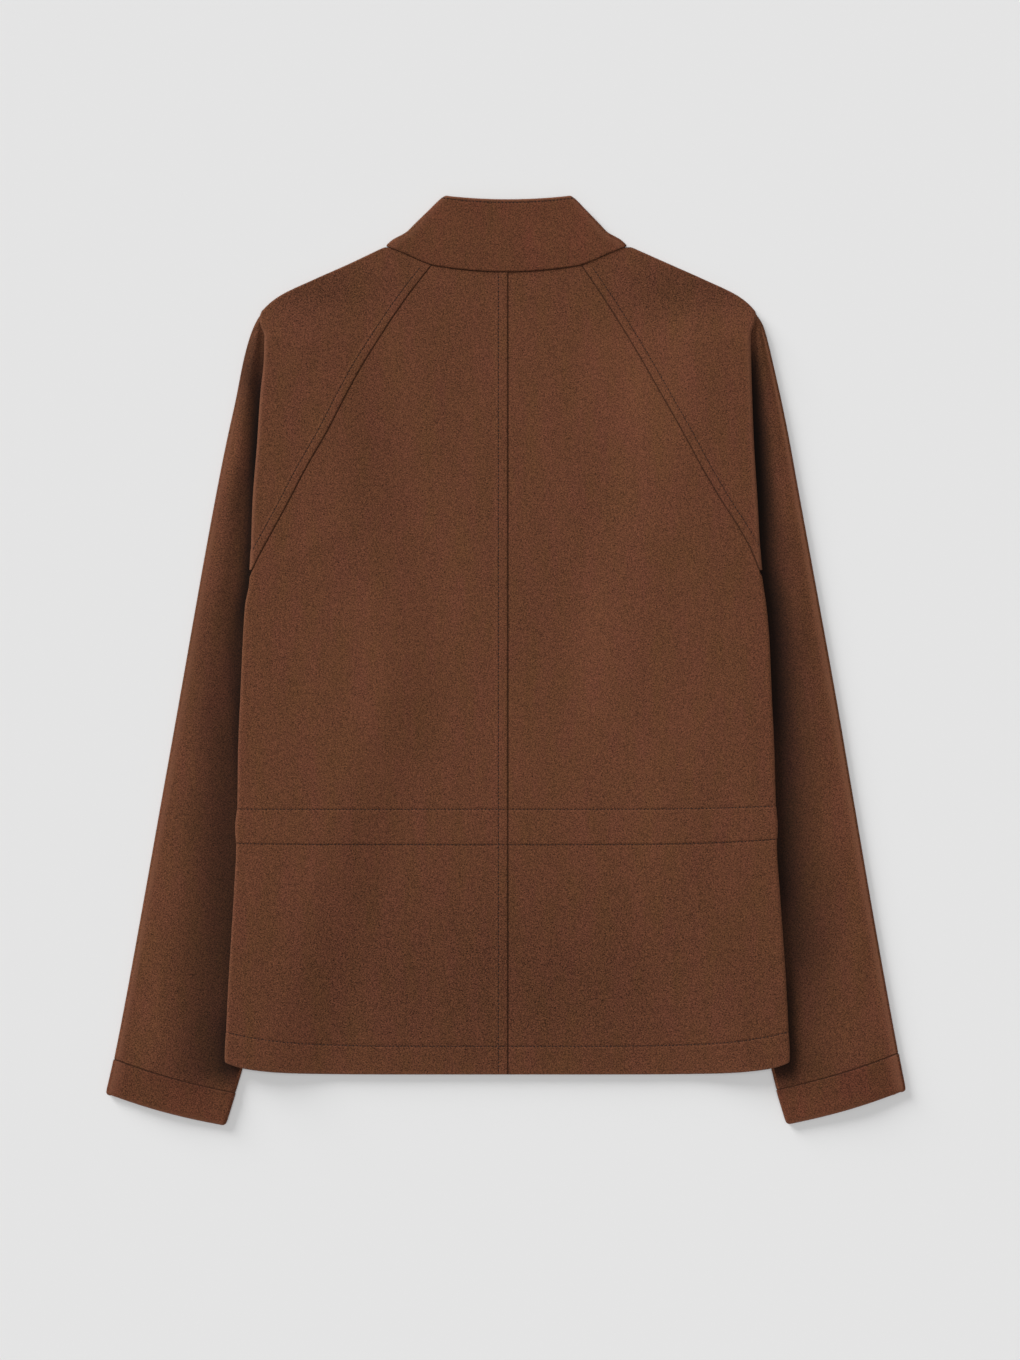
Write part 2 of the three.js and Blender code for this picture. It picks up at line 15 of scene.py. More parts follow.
import bpy
import numpy as np
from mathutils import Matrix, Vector


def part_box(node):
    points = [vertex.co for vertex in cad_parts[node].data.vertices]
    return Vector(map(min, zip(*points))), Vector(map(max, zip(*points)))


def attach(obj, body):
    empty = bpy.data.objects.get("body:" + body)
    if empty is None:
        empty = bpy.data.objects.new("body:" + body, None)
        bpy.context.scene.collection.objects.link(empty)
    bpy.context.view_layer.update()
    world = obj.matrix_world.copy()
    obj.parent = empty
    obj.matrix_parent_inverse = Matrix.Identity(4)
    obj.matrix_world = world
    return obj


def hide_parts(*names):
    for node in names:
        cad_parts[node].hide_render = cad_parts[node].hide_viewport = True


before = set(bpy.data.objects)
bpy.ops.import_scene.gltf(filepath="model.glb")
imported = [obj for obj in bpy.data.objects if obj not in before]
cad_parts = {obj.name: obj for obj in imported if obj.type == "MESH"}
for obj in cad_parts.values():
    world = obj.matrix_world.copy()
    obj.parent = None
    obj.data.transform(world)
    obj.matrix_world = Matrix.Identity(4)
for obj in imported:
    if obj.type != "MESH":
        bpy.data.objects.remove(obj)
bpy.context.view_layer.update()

LOG = logging.getLogger("jacket")
MM = 0.001
Array = np.ndarray
Colour = tuple[float, float, float]
Material = bpy.types.Material
NodeTree = bpy.types.NodeTree
Socket = bpy.types.NodeSocket
Sheet = Callable[[Array, Array], Array]

# Distance from the centre line to the body's outer edge: height, left side, right side.
UPPER_EDGE = (
    (345, 88.0, 90.4), (338.7, 102.1, 104.5), (325.5, 130.0, 134.1), (312.4, 159.5, 163.6),
    (299.3, 186.8, 190.6), (291, 197.2, 200.8), (284, 202.4, 205.4), (277, 202.2, 203.8),
    (267, 198.6, 200.4), (250, 198.9, 200.6), (216.5, 202.1, 201.5), (177.9, 204.6, 203.0),
    (129.6, 208.3, 206.0), (82, 210.0, 208.6), (62, 211.5, 210.9), (45, 214.7, 213.4),
    (19.7, 216.3, 215.7), (-27.9, 218.5, 217.8), (-75.4, 220.4, 220.0), (-120, 221.0, 221.3),
    (-136, 222.6, 222.6), (-151, 221.9, 222.0), (-187, 223.6, 224.3), (-265.7, 228.4, 229.7),
    (-304.2, 230.2, 231.6), (-326, 231.2, 232.5), (-332, 230.4, 231.4),
)
# Distance from the centre line to the raglan seam: height, left side, right side.
RAGLAN = (
    (325.1, 61.5, 61.5), (303, 78.9, 76.7), (269.4, 101.9, 98.0), (240.3, 119.9, 115.2),
    (215.2, 133.3, 129.2), (191.1, 145.5, 142.8), (156.6, 165.2, 161.5), (129.6, 179.2, 177.5),
    (107, 191.5, 192.0), (89, 201.3, 201.6), (74.6, 208.3, 207.2), (58, 213.5, 213.0),
)
# The neck seam beside the back panel: distance from the centre line, height.
NECK_SIDE = ((61.5, 325.1), (70, 328.1), (81, 333.2), (99.4, 340.7))
# The lowered arm's outer fold: height, left side, right side.
ARM_OUTER = (
    (292, 192.4, 196.4), (284, 202.2, 205.6), (276, 207.0, 210.6), (263.2, 211.8, 214.6),
    (246.8, 216.1, 218.5), (214, 222.6, 225.9), (181.2, 229.8, 232.5), (148.4, 236.4, 238.4),
    (99.2, 245.6, 247.4), (50, 254.4, 256.4), (-32, 268.8, 271.2), (-114, 283.4, 285.2),
    (-196, 298.0, 299.2), (-278, 312.9, 313.8), (-327, 322.5, 322.9), (-355, 328.9, 328.4),
)
# The arm's inner edge, hidden under the body: height, left side, right side.
ARM_INNER = (
    (292, 181.0, 182.0), (191, 161.7, 162.0), (107, 143.6, 143.6), (40, 129.0, 129.0),
    (-11, 119.5, 119.5), (-81, 139.5, 139.8), (-200, 175.7, 176.4), (-335, 216.9, 217.6),
    (-354, 222.6, 222.4), (-380, 230.6, 230.2),
)
# How much lower a section across the arm ends at its inner edge: height, left side, right side.
ARM_SLANT = ((100, 0, 0), (-90, 11, 12), (-327, 28, 30.3), (-355, 25.3, 26.9))
# Half the collar's width at each height of its folded side.
COLLAR_EDGE = (
    (340.7, 99.4), (345.2, 94.6), (351.8, 83.2), (358.3, 76.8), (371.5, 63.8), (378.6, 56.9),
    (380.8, 54.2), (382.0, 50.8),
)
# Rows of the body's panels: height at the outer edge, drop to the centre, power of that drop.
SIDE_ROWS = (
    (74.6, 0, 2), (-90, 0, 2), (-118.6, 0.4, 2), (-136, 0.4, 2), (-149, 1.1, 2), (-151.8, 1.1, 2),
    (-200, 1, 3), (-255, 5, 4), (-302.5, 12.4, 5), (-305.3, 12.6, 5), (-322, 10.6, 6),
    (-331, 8.5, 7),
)
# How far a row of the back rises towards its side: height of the row, left side, right side.
SIDE_LIFT = (
    (-90, 0, 0), (-121.4, 0, 2.6), (-149.8, 0.2, 3.8), (-200, 0, 3), (-255, 0, 0), (-331, 0, 0),
)
# Heights, at the outer edge, of the stitch lines across the body.
CHANNEL_TOP = -121.4
CHANNEL_FOOT = -149.8
HEM_STITCH = -303.9
HEM_EDGE = -331.0
LINES = (CHANNEL_TOP, CHANNEL_FOOT, HEM_STITCH)
# Puckers beside each of them: height, length of the wave, seed, size, reach.
GATHERS = ((CHANNEL_TOP, 13, 3, 0.10, 5.5), (CHANNEL_FOOT, 11, 4, 0.11, 5.5),
           (HEM_STITCH, 17, 5, 0.08, 5.5))


class Side(Enum):
    """The jacket's two sides as seen from above, with the sign of X on each."""

    LEFT = -1
    RIGHT = 1

    @property
    def column(self) -> int:
        """This side's column in the tables."""
        return 1 if self is Side.LEFT else 2

    @property
    def tag(self) -> str:
        """The side's word in node names."""
        return self.name.lower()


@dataclass(frozen=True)
class Cut:
    """The jacket's driving sizes, in millimetres."""

    cloth: float = 1.6
    collar_cloth: float = 2.4
    cuff_cloth: float = 1.9
    layer_air: float = 1.8
    seam_gap: float = 0.3
    seam_shown: float = 0.01
    centre_back_x: float = 1.2
    nape_y: float = 319.4
    front_neck_y: float = 263.0
    raglan_top_d: float = 61.5
    raglan_top_y: float = 325.1
    front_opening: float = 1.0
    collar_base: float = 99.4
    collar_dip_y: float = 379.1
    collar_corner_y: float = 382.0
    collar_front_top_y: float = 321.0
    seam_strip: float = 8.0
    hem_corner: float = 2.3
    raglan_strip: float = 8.2
    strip_rise: float = 0.45
    band_rise: float = 0.2
    cuff_step: float = 0.4
    cuff_corner: float = 3.0
    cuff_bow: float = 2.2
    arm_crown: float = 1.7
    lift_margin: float = 12.0
    lift_ramp: float = 66.0
    lift_top_y: float = 305.0
    lift_run: float = 47.0

    @property
    def layer_step(self) -> float:
        """Height from one laid layer's middle to the next: cloth and air."""
        return self.cloth + self.layer_air

    @property
    def fold_radius(self) -> float:
        """Radius of the middle of a folded edge: half the layer step."""
        return self.layer_step / 2

    @property
    def laid_height(self) -> float:
        """Height of two laid layers."""
        return self.layer_step + self.cloth

    @property
    def arm_lift(self) -> float:
        """How high the body is raised where it lies on an arm."""
        return self.laid_height + self.seam_gap


CUT = Cut()
CUFF_SEAM = {Side.LEFT: -326.8, Side.RIGHT: -321.9}
CUFF_END = {Side.LEFT: -355.8, Side.RIGHT: -353.0}


def ease(t: Array) -> Array:
    """Smooth step: 3t^2 - 2t^3, with t held between 0 and 1."""
    k = np.clip(t, 0.0, 1.0)
    return k * k * (3 - 2 * k)


class Curve:
    """A smooth curve through a table's rows, which never overshoots them.

    Cubic pieces whose slope at a row is the harmonic mean of the slopes beside it, or zero where
    those differ in sign. Outside the rows it keeps the end values.
    """

    def __init__(self, keys: Sequence[float], values: Sequence[float]) -> None:
        """Sorts the rows by key and works out the slopes.

        Args:
            keys: The places of the rows.
            values: The values there.
        """
        order = np.argsort(keys)
        self.keys = np.asarray(keys, float)[order]
        self.values = np.asarray(values, float)[order]
        slope = np.diff(self.values) / np.diff(self.keys)
        before, after = slope[:-1], slope[1:]
        total = np.where(before * after > 0, before + after, 1.0)
        inner = np.where(before * after > 0, 2 * before * after / total, 0.0)
        self.slopes = np.concatenate([slope[:1], inner, slope[-1:]])

    def __call__(self, key: Array) -> Array:
        """The curve's value at each key.

        Args:
            key: Where to read it.

        Returns:
            The values, in the same shape.
        """
        k = np.clip(np.asarray(key, float), self.keys[0], self.keys[-1])
        i = np.clip(np.searchsorted(self.keys, k, side="right") - 1, 0, len(self.keys) - 2)
        h = self.keys[i + 1] - self.keys[i]
        t = (k - self.keys[i]) / h
        a, b = self.values[i], self.values[i + 1]
        p, q = self.slopes[i] * h, self.slopes[i + 1] * h
        return (a * (1 + 2 * t) * (1 - t) ** 2 + b * t * t * (3 - 2 * t)
                + p * t * (1 - t) ** 2 - q * t * t * (1 - t))

    @classmethod
    def column(cls, table: Sequence[Sequence[float]], column: int, key: int = 0) -> "Curve":
        """The curve of one column of a table, keyed by another."""
        rows = np.asarray(table, float)
        return cls(rows[:, key], rows[:, column])


class HalfForm:
    """The laid form of one side of the jacket: body, sleeve head and lowered arm."""

    def __init__(self, side: Side) -> None:
        """Reads the side's columns of the tables."""
        self.side = side
        self.sign = float(side.value)
        tables = (UPPER_EDGE, RAGLAN, ARM_OUTER, ARM_INNER, ARM_SLANT)
        self.edge, self.raglan, self.arm_outer, self.arm_inner, self.arm_slant = (
            Curve.column(table, side.column) for table in tables)
        self.neck_side = Curve.column(NECK_SIDE, 0, key=1)

    def fold_start(self, y: Array) -> Array:
        """Where the path over the edge begins to turn: the edge less the fold's reach."""
        return self.edge(y) - CUT.fold_radius - CUT.cloth / 2

    def path_length(self, y: Array) -> Array:
        """The path from the back's centre line to the front's: both flats and the half turn."""
        return 2 * self.fold_start(y) + np.pi * CUT.fold_radius

    def seam(self, y: Array) -> Array:
        """Where the body's outer seam lies on the path; past the fold's start, round the fold."""
        centre = self.fold_start(y)
        d = np.where(np.asarray(y) > CUT.raglan_top_y, self.neck_side(y), self.raglan(y))
        reach = np.clip((d - centre) / CUT.fold_radius, 0, 1)
        reach = np.where(np.asarray(y) <= self.raglan.keys[0], 1.0, reach)
        return np.where((d <= centre) & (reach < 1), d, centre + CUT.fold_radius * np.arcsin(reach))

    def lift(self, d: Array, y: Array) -> Array:
        """How far the body is raised by the arm under it: a smooth ramp outward and downward."""
        inside = self.arm_inner(y) - CUT.lift_margin - CUT.lift_ramp
        return (CUT.arm_lift * ease((d - inside) / CUT.lift_ramp)
                * ease((CUT.lift_top_y - y) / CUT.lift_run))

    def upper(self, s: Array, y: Array) -> Array:
        """The body and sleeve head as one flattened tube.

        s runs over the back from the centre line, round a half circle at the edge, and back
        under the front.

        Args:
            s: Distance along the path.
            y: Height on the jacket.

        Returns:
            Points, with a last axis of three.
        """
        centre, radius = self.fold_start(y), CUT.fold_radius
        turned = np.clip((s - centre) / radius, 0, np.pi)
        under = np.maximum(s - centre - np.pi * radius, 0)
        d = np.minimum(s, centre) + radius * np.sin(turned) - under
        z = CUT.cloth / 2 + radius * (1 + np.cos(turned)) + self.lift(np.abs(d), y)
        return np.stack([self.sign * d, y + 0 * d, z], -1)

    def crown(self, d: Array, y: Array) -> Array:
        """The swelling of the arm's upper layer, between the body's edge and its own fold."""
        inside = np.maximum(self.edge(y) + 2, self.arm_inner(y) + 3)
        share = (d - inside) / (self.arm_outer(y) - 3 - inside)
        return CUT.arm_crown * ease(share / 0.6) * ease((1 - share) / 0.4)

    def arm(self, t: Array, y: Array, cloth: float, grow: Array | float) -> Array:
        """The lowered arm as a flattened tube.

        t runs 0 to 1 over the top from the outer fold, 1 to 2 round the inner edge, 2 to 3 back
        below and 3 to 4 round the outer fold. The ends of a section lie on the outer fold and,
        lower by the slant, on the inner edge, and the section bows a little above the cuff.

        Args:
            t: Place round the section.
            y: Height of the section's outer end.
            cloth: Thickness of the wall.
            grow: How much wider the tube is than the sleeve; below zero it isn't flatter.

        Returns:
            Points, with a last axis of three.
        """
        outer_d = self.arm_outer(y) + grow
        inner_y = y - self.arm_slant(y)
        inner_d = self.arm_inner(inner_y) - grow
        width = np.hypot(outer_d - inner_d, y - inner_y)
        radius = (CUT.laid_height - cloth) / 2 + np.maximum(grow, 0) / 2
        reach = radius + cloth / 2
        turn = np.mod(t, 4.0)
        flat = width - 2 * reach
        inside = np.pi * (turn - 1)
        outside = np.pi * (turn - 3)
        parts = [turn < 1, turn < 2, turn < 3]
        a = np.select(parts, [reach + flat * turn, width - reach + radius * np.sin(inside),
                              width - reach - flat * (turn - 2)], reach - radius * np.sin(outside))
        share = a / width
        d = outer_d + (inner_d - outer_d) * share
        plan_y = y + (inner_y - y) * share
        rise = np.select(parts, [radius + self.crown(d, plan_y), radius * np.cos(inside),
                                 -radius + 0 * turn], -radius * np.cos(outside))
        bow = CUT.cuff_bow * ease((-150 - y) / 170) * 4 * share * (1 - share)
        return np.stack([self.sign * d, plan_y - bow, cloth / 2 + radius + rise], -1)


class CollarForm:
    """The stand collar as a flattened band, open at the centre front."""

    def __init__(self) -> None:
        """Reads the collar's tables."""
        self.half_width = Curve.column(COLLAR_EDGE, 1)
        self.side_height = Curve.column(NECK_SIDE, 1)

    def neck_seam(self, d: Array, centre_y: float, bend: float) -> Array:
        """Height of the neck seam: a power curve to the raglan's top, then the side table."""
        share = np.minimum(d, CUT.raglan_top_d) / CUT.raglan_top_d
        inner = centre_y + (CUT.raglan_top_y - centre_y) * share**bend
        return np.where(d > CUT.raglan_top_d, self.side_height(d), inner)

    def point(self, t: Array, h: Array) -> Array:
        """A point of the band.

        t runs 0 to 1 along the left front, 1 to 2 round the left side, 2 to 3 over the back, 3
        to 4 round the right side and 4 to 5 to the opening. h runs from the neck seam to the top.

        Args:
            t: Place along the band.
            h: Share of its height.

        Returns:
            Points, with a last axis of three.
        """
        base = COLLAR_EDGE[0][0]
        half = self.half_width(base + (CUT.collar_corner_y - base) * h)
        radius = (CUT.layer_step + CUT.seam_gap) / 2
        flat = half - radius - CUT.collar_cloth / 2
        opening = CUT.front_opening / 2
        near = np.minimum(t, 5 - t)
        mirrored = np.where(t < 2.5, -1.0, 1.0)
        angle = np.pi * np.clip(near - 1, 0, 1)
        front_x = mirrored * (opening + (flat - opening) * np.clip(near, 0, 1))
        back_x = flat * (2 * (t - 2) - 1)
        side_x = mirrored * (flat + radius * np.sin(angle))
        x = np.select([near <= 1, near >= 2], [front_x, back_x], side_x)
        over = (1 - np.cos(angle)) / 2
        z = CUT.collar_cloth / 2 + 2 * radius * over
        share = np.abs(x) / half
        seam_d = share * CUT.collar_base
        back_low = self.neck_seam(seam_d, CUT.nape_y, 2) + CUT.seam_shown
        back_top = CUT.collar_dip_y + (CUT.collar_corner_y - CUT.collar_dip_y) * share**2
        front_low = self.neck_seam(seam_d, CUT.front_neck_y, 1.6) + 2 * CUT.seam_gap
        front_top = (CUT.collar_front_top_y
                     + (CUT.collar_corner_y - CUT.collar_front_top_y) * share**1.5)
        low = front_low + (back_low - front_low) * over
        top = front_top + (back_top - front_top) * over
        return np.stack([x + CUT.centre_back_x * h, low + (top - low) * h, z], -1)


@dataclass(frozen=True)
class Crease:
    """One soft crease: its middle, run and section, in millimetres."""

    x: float
    y: float
    turn: float
    length: float
    width: float
    height: float
    bend: float = 0.0

    def relief(self, x: Array, y: Array) -> Array:
        """Height of the crease: a bell across it, tapering to nothing at its ends.

        Args:
            x: Places across the jacket.
            y: Places along it.

        Returns:
            The heights there; below zero is a trough.
        """
        a = np.radians(self.turn)
        along = (x - self.x) * np.cos(a) + (y - self.y) * np.sin(a)
        across = -(x - self.x) * np.sin(a) + (y - self.y) * np.cos(a)
        share = along / (self.length / 2)
        across = across - self.bend * (1 - share**2)
        taper = ease(1 - np.abs(share)) * (1 + 0.25 * np.sin(5.1 * share + self.x))
        width = self.width * (1 + 0.35 * share)
        return self.height * np.exp(-((across / width) ** 2)) * taper


# A seam's rolled edge: its radius, and the distances of the stations on it.
ROLL = 1.3
SEAM_ROLL = (0, 0.12, 0.35, 0.7, 1.2, 2.0)
# Half the ramp of a raised band, and the ramp of a felled strip.
STEP = 1.3
STRIP_RAMP = 1.8
# A stitched furrow: its depth, its half width and that of its shade.
FURROW = 0.34
FURROW_WIDTH = 0.75
SHADE_WIDTH = 0.55
# How much painted shade darkens the bottom of a seam and of a stitched furrow, 0 to 1.
SEAM_SHADE = 0.6
LINE_SHADE = 0.32
# Least distance from a middle surface to its outer face.
THINNEST = 0.05
# Stations beside the felled strips' stitches: centre-back seam, raglan seam.
CENTRE_STATIONS = (3.5, 5.6, 6.7, 7.1, 7.45, 7.8, 8.15, 8.6, 9.3)
RAGLAN_STATIONS = (3.5, 5.2, 6.4, 7.0, 7.35, 7.7, 8.05, 8.4, 9.0, 10.0)
RAGLAN_STITCH = 7.7
# Rough length of a quarter of the arm's round and a fifth of the collar's, for their puckers.
ARM_SPAN = 150
COLLAR_SPAN = 120
# The collar band's height and how far below its top it is stitched.
COLLAR_HEIGHT = 57.0
COLLAR_STITCH = 2.6
COLLAR_FURROW = 0.24
# Rough length of its front half beside the opening, for the rounding of its two ends.
FRONT_SPAN = 60.0

# Soft creases of the back and sleeve heads, of the arms' upper layers and of the fronts: x, y,
# turn in degrees, length, width, height, bend.
BACK_CREASES = (
    (-150, 95, 28, 150, 9, 0.45, 5), (-128, 62, 20, 120, 12, -0.35, -4),
    (155, 88, 152, 140, 10, 0.42, -5), (120, 58, 160, 110, 11, -0.30, 5),
    (-165, 250, 62, 90, 8, 0.40, 3), (168, 240, 118, 100, 9, 0.36, -4),
    (-95, -60, 84, 210, 16, 0.35, 8), (70, 20, 95, 240, 20, 0.32, -9),
    (-60, 190, 100, 170, 18, 0.28, 6), (60, 235, 80, 120, 14, -0.25, 5),
    (-120, -235, 78, 150, 15, 0.38, -6), (105, -225, 99, 170, 17, 0.34, 7),
    (-30, -210, 88, 130, 13, -0.26, 4), (165, -95, 100, 120, 12, 0.30, 5),
)
ARM_CREASES = (
    (-233, 60, 100, 170, 9, 0.45, 4), (-262, -95, 101, 190, 11, -0.40, -5),
    (-285, -215, 97, 150, 10, 0.45, 5), (-255, -262, 106, 120, 9, -0.35, 3),
    (-243, -30, 62, 60, 7, 0.30, 2), (238, 40, 80, 180, 9, 0.42, -4),
    (266, -120, 79, 170, 10, -0.38, 5), (290, -230, 82, 140, 11, 0.45, -4),
    (258, -255, 74, 110, 9, -0.33, -3), (246, -60, 121, 58, 7, 0.28, 2),
)
UNDER_CREASES = (
    (-110, 40, 60, 150, 12, 0.30, 4), (118, 22, 118, 160, 13, 0.28, -5),
    (-70, -190, 95, 190, 15, 0.32, 7), (92, -170, 84, 170, 14, 0.26, -6),
)


def creases_at(rows: Sequence[Sequence[float]], x: Array, y: Array) -> Array:
    """The heights at plan points of a table's creases, added up."""
    return sum(Crease(*row).relief(x, y) for row in rows)


# Patches of painted light and shade on the suede, lighter at the upper back and the collar, darker
# at the shoulders' tops, towards the hem and at the cuffs: x, y, half width, half height, amount.
PAINTED_LIGHT_PATCHES = (
    (-150, 305, 60, 26, -0.20), (150, 305, 60, 26, -0.20), (0, -270, 240, 90, -0.20),
    (-285, -345, 60, 24, -0.13), (285, -345, 60, 22, -0.10), (90, 230, 70, 70, 0.12),
    (118, 9, 60, 80, 0.04), (-90, 9, 60, 80, 0.06), (0, 350, 90, 24, 0.08),
)


def painted_light_at(x: Array, y: Array) -> Array:
    """The painted light and shade at plan points: 0.5 and the patches' bells added up."""
    return 0.5 + sum(amount * np.exp(-(((x - px) / wide) ** 2) - ((y - py) / high) ** 2)
                     for px, py, wide, high, amount in PAINTED_LIGHT_PATCHES)


def ripple(place: Array, wave: float, seed: int) -> Array:
    """An uneven wave of height about 1: three sines of unlike lengths, with seeded phases."""
    phase = np.random.default_rng(seed).uniform(0, 2 * np.pi, 3)
    turns = 2 * np.pi * place / wave
    return (np.sin(turns + phase[0]) + 0.6 * np.sin(1.71 * turns + phase[1])
            + 0.5 * np.sin(0.47 * turns + phase[2])) / 2.1


def bell(distance: Array, width: float) -> Array:
    """exp(-(distance/width)^2): 1 on the line, fading beside it."""
    return np.exp(-((distance / width) ** 2))


def puckers(place: Array, distance: Array, wave: float, seed: int, size: float,
            reach: float) -> Array:
    """Small uneven puckers beside a line: a ripple along it times a bell of the distance."""
    return size * ripple(place, wave, seed) * bell(distance, reach)


def nearest(*distances: Array) -> Array:
    """The least of several distances."""
    return reduce(np.minimum, distances)


def rounding(distance: Array, radius: float) -> Array:
    """Share of the full half-thickness near an edge, on a quarter circle of that radius."""
    k = np.clip(distance / radius, 0, 1)
    return np.sqrt(np.clip(1 - (1 - k) ** 2, 0, 1))


def rolled(half: float, distance: Array) -> Array:
    """Distance to the outer face beside a seam, where it rolls in past the middle."""
    return half * (-0.1 + 1.1 * rounding(distance, ROLL))


def banded(distance: Array) -> Array:
    """Share of a band's outer half-thickness beside the seam that it is sewn to."""
    return 0.06 + 0.94 * rounding(distance, ROLL)


def free_edge(distance: Array, radius: float) -> Array:
    """Share of the half-thickness beside a free edge, which is rounded but not sharp."""
    return np.maximum(rounding(distance, radius), 0.12)


def spread(start: Array, end: Array, near: Sequence[float], far: Sequence[float],
           count: int) -> Array:
    """Stations along each row, at fixed distances from its ends and even between them.

    Args:
        start: Where each row starts.
        end: Where it ends.
        near: Distances of the first stations from the start.
        far: Distances of the last stations from the end, smallest first.
        count: How many even steps lie between them.

    Returns:
        One row of stations for each start; short rows draw the fixed ones together.
    """
    start, end = np.asarray(start, float)[:, None], np.asarray(end, float)[:, None]
    first, last = np.asarray(near, float)[None, :], np.asarray(far, float)[None, ::-1]
    shrink = np.minimum(1, 0.85 * (end - start) / (first[0, -1] + last[0, 0] + 1e-9))
    a, b = start + first[:, -1:] * shrink, end - last[:, :1] * shrink
    even = a + (b - a) * (np.arange(1, count) / count)[None, :]
    return np.concatenate([start + first * shrink, even, end - last * shrink], 1)


def row_keys(stops: Sequence[float], step: float, lines: Sequence[float] = ()) -> Array:
    """Row heights from the first stop to the last, with close rows at its ends and lines.

    Args:
        stops: The top and the foot of the piece.
        step: Greatest distance between rows.
        lines: Heights of stitch lines, which get rows close beside them.

    Returns:
        The heights, from the top down.
    """
    top, foot = max(stops), min(stops)
    ends = np.array(SEAM_ROLL)
    beside = np.array([-2.6, -1.5, -0.9, -0.45, 0, 0.45, 0.9, 1.5, 2.6])
    fixed = [top - ends, foot + ends] + [line + beside for line in lines]
    marks = np.unique(np.round(np.concatenate(fixed), 4))
    marks = marks[(marks >= foot) & (marks <= top)]
    marks = marks[np.concatenate([[True], np.diff(marks) > 0.06])]
    marks[-1] = top
    runs = [np.linspace(a, b, max(1, int(np.ceil((b - a) / step))), endpoint=False)
            for a, b in zip(marks[:-1], marks[1:])]
    return np.concatenate(runs + [[top]])[::-1]


@dataclass
class Cloth:
    """A piece of cloth being made: its surfaces, quads and point attributes."""

    points: Array
    quads: Array
    attributes: dict[str, Array] = field(default_factory=dict)

    def joined(self, other: "Cloth") -> "Cloth":
        """This cloth and another as one mesh."""
        keys = self.attributes.keys() | other.attributes.keys()
        mixed = {k: np.concatenate([self.attributes.get(k, np.zeros(len(self.points))),
                                    other.attributes.get(k, np.zeros(len(other.points)))])
                 for k in keys}
        return Cloth(np.concatenate([self.points, other.points]),
                     np.concatenate([self.quads, other.quads + len(self.points)]), mixed)


def unit(vectors: Array) -> Array:
    """The vectors at length 1."""
    return vectors / np.linalg.norm(vectors, axis=-1, keepdims=True)


def normals_of(sheet: Sheet, a: Array, b: Array) -> Array:
    """Unit normals of a surface: the cross product of its two central differences."""
    h = 0.02
    return unit(np.cross(sheet(a + h, b) - sheet(a - h, b), sheet(a, b + h) - sheet(a, b - h)))


def grid_quads(rows: int, columns: int, wrapped: bool) -> Array:
    """Quads of a closed wall between an outer and an inner grid.

    Args:
        rows: Rows of the grid.
        columns: Columns of the grid.
        wrapped: Whether the last column joins the first.

    Returns:
        Corner numbers, four to a quad, the outer grid's points first.
    """
    points = np.arange(2 * rows * columns).reshape(2, rows, columns)
    if wrapped:
        points = np.concatenate([points, points[:, :, :1]], 2)
    outer, inner = points
    pairs = [(outer[:-1], outer[1:], False), (inner[:-1], inner[1:], True),
             (outer[0], inner[0], True), (outer[-1], inner[-1], False)]
    if not wrapped:
        pairs += [(outer[:, 0], inner[:, 0], False), (outer[:, -1], inner[:, -1], True)]
    made = []
    for a, b, turned in pairs:
        quads = np.stack([a[..., :-1], a[..., 1:], b[..., 1:], b[..., :-1]], -1).reshape(-1, 4)
        made.append(quads[:, [0, 3, 2, 1]] if turned else quads)
    return np.concatenate(made)


def wall(sheet: Sheet, a: Array, b: Array, turn: float, outside: Array,
         inside: Array | float, wrapped: bool = False, **marks: Array) -> Cloth:
    """A closed cloth wall about a middle surface.

    Each grid point is moved along the surface's normal, out by one thickness and in by another.

    Args:
        sheet: The middle surface, as a function of two parameters.
        a: First parameter at each grid point.
        b: Second parameter there.
        turn: 1 or -1, which way the outer face lies.
        outside: Distance to the outer face, in millimetres, held above a least one.
        inside: Distance to the inner face.
        wrapped: Whether the grid closes on itself.
        **marks: Attributes of the outer face, 0 to 1; the inner face gets zero.

    Returns:
        The wall, with its faces pointing outward.
    """
    middle = sheet(a, b)
    normal = normals_of(sheet, a, b) * turn
    outer = (middle + normal * np.maximum(outside, THINNEST)[..., None]).reshape(-1, 3)
    inner = (middle - normal * np.broadcast_to(inside, a.shape)[..., None]).reshape(-1, 3)
    points = np.concatenate([outer, inner])
    quads = grid_quads(*a.shape, wrapped)
    p, q, r, s = (points[quads[:, k]] for k in range(4))
    volume = sum(np.einsum("ij,ij->i", p, np.cross(*pair)) for pair in ((q, r), (r, s))).sum()
    if volume < 0:
        quads = quads[:, ::-1]
    pad = np.zeros(len(inner))
    kept = {title: np.concatenate([np.broadcast_to(mark, a.shape).reshape(-1), pad])
            for title, mark in marks.items()}
    return Cloth(points, quads, kept)


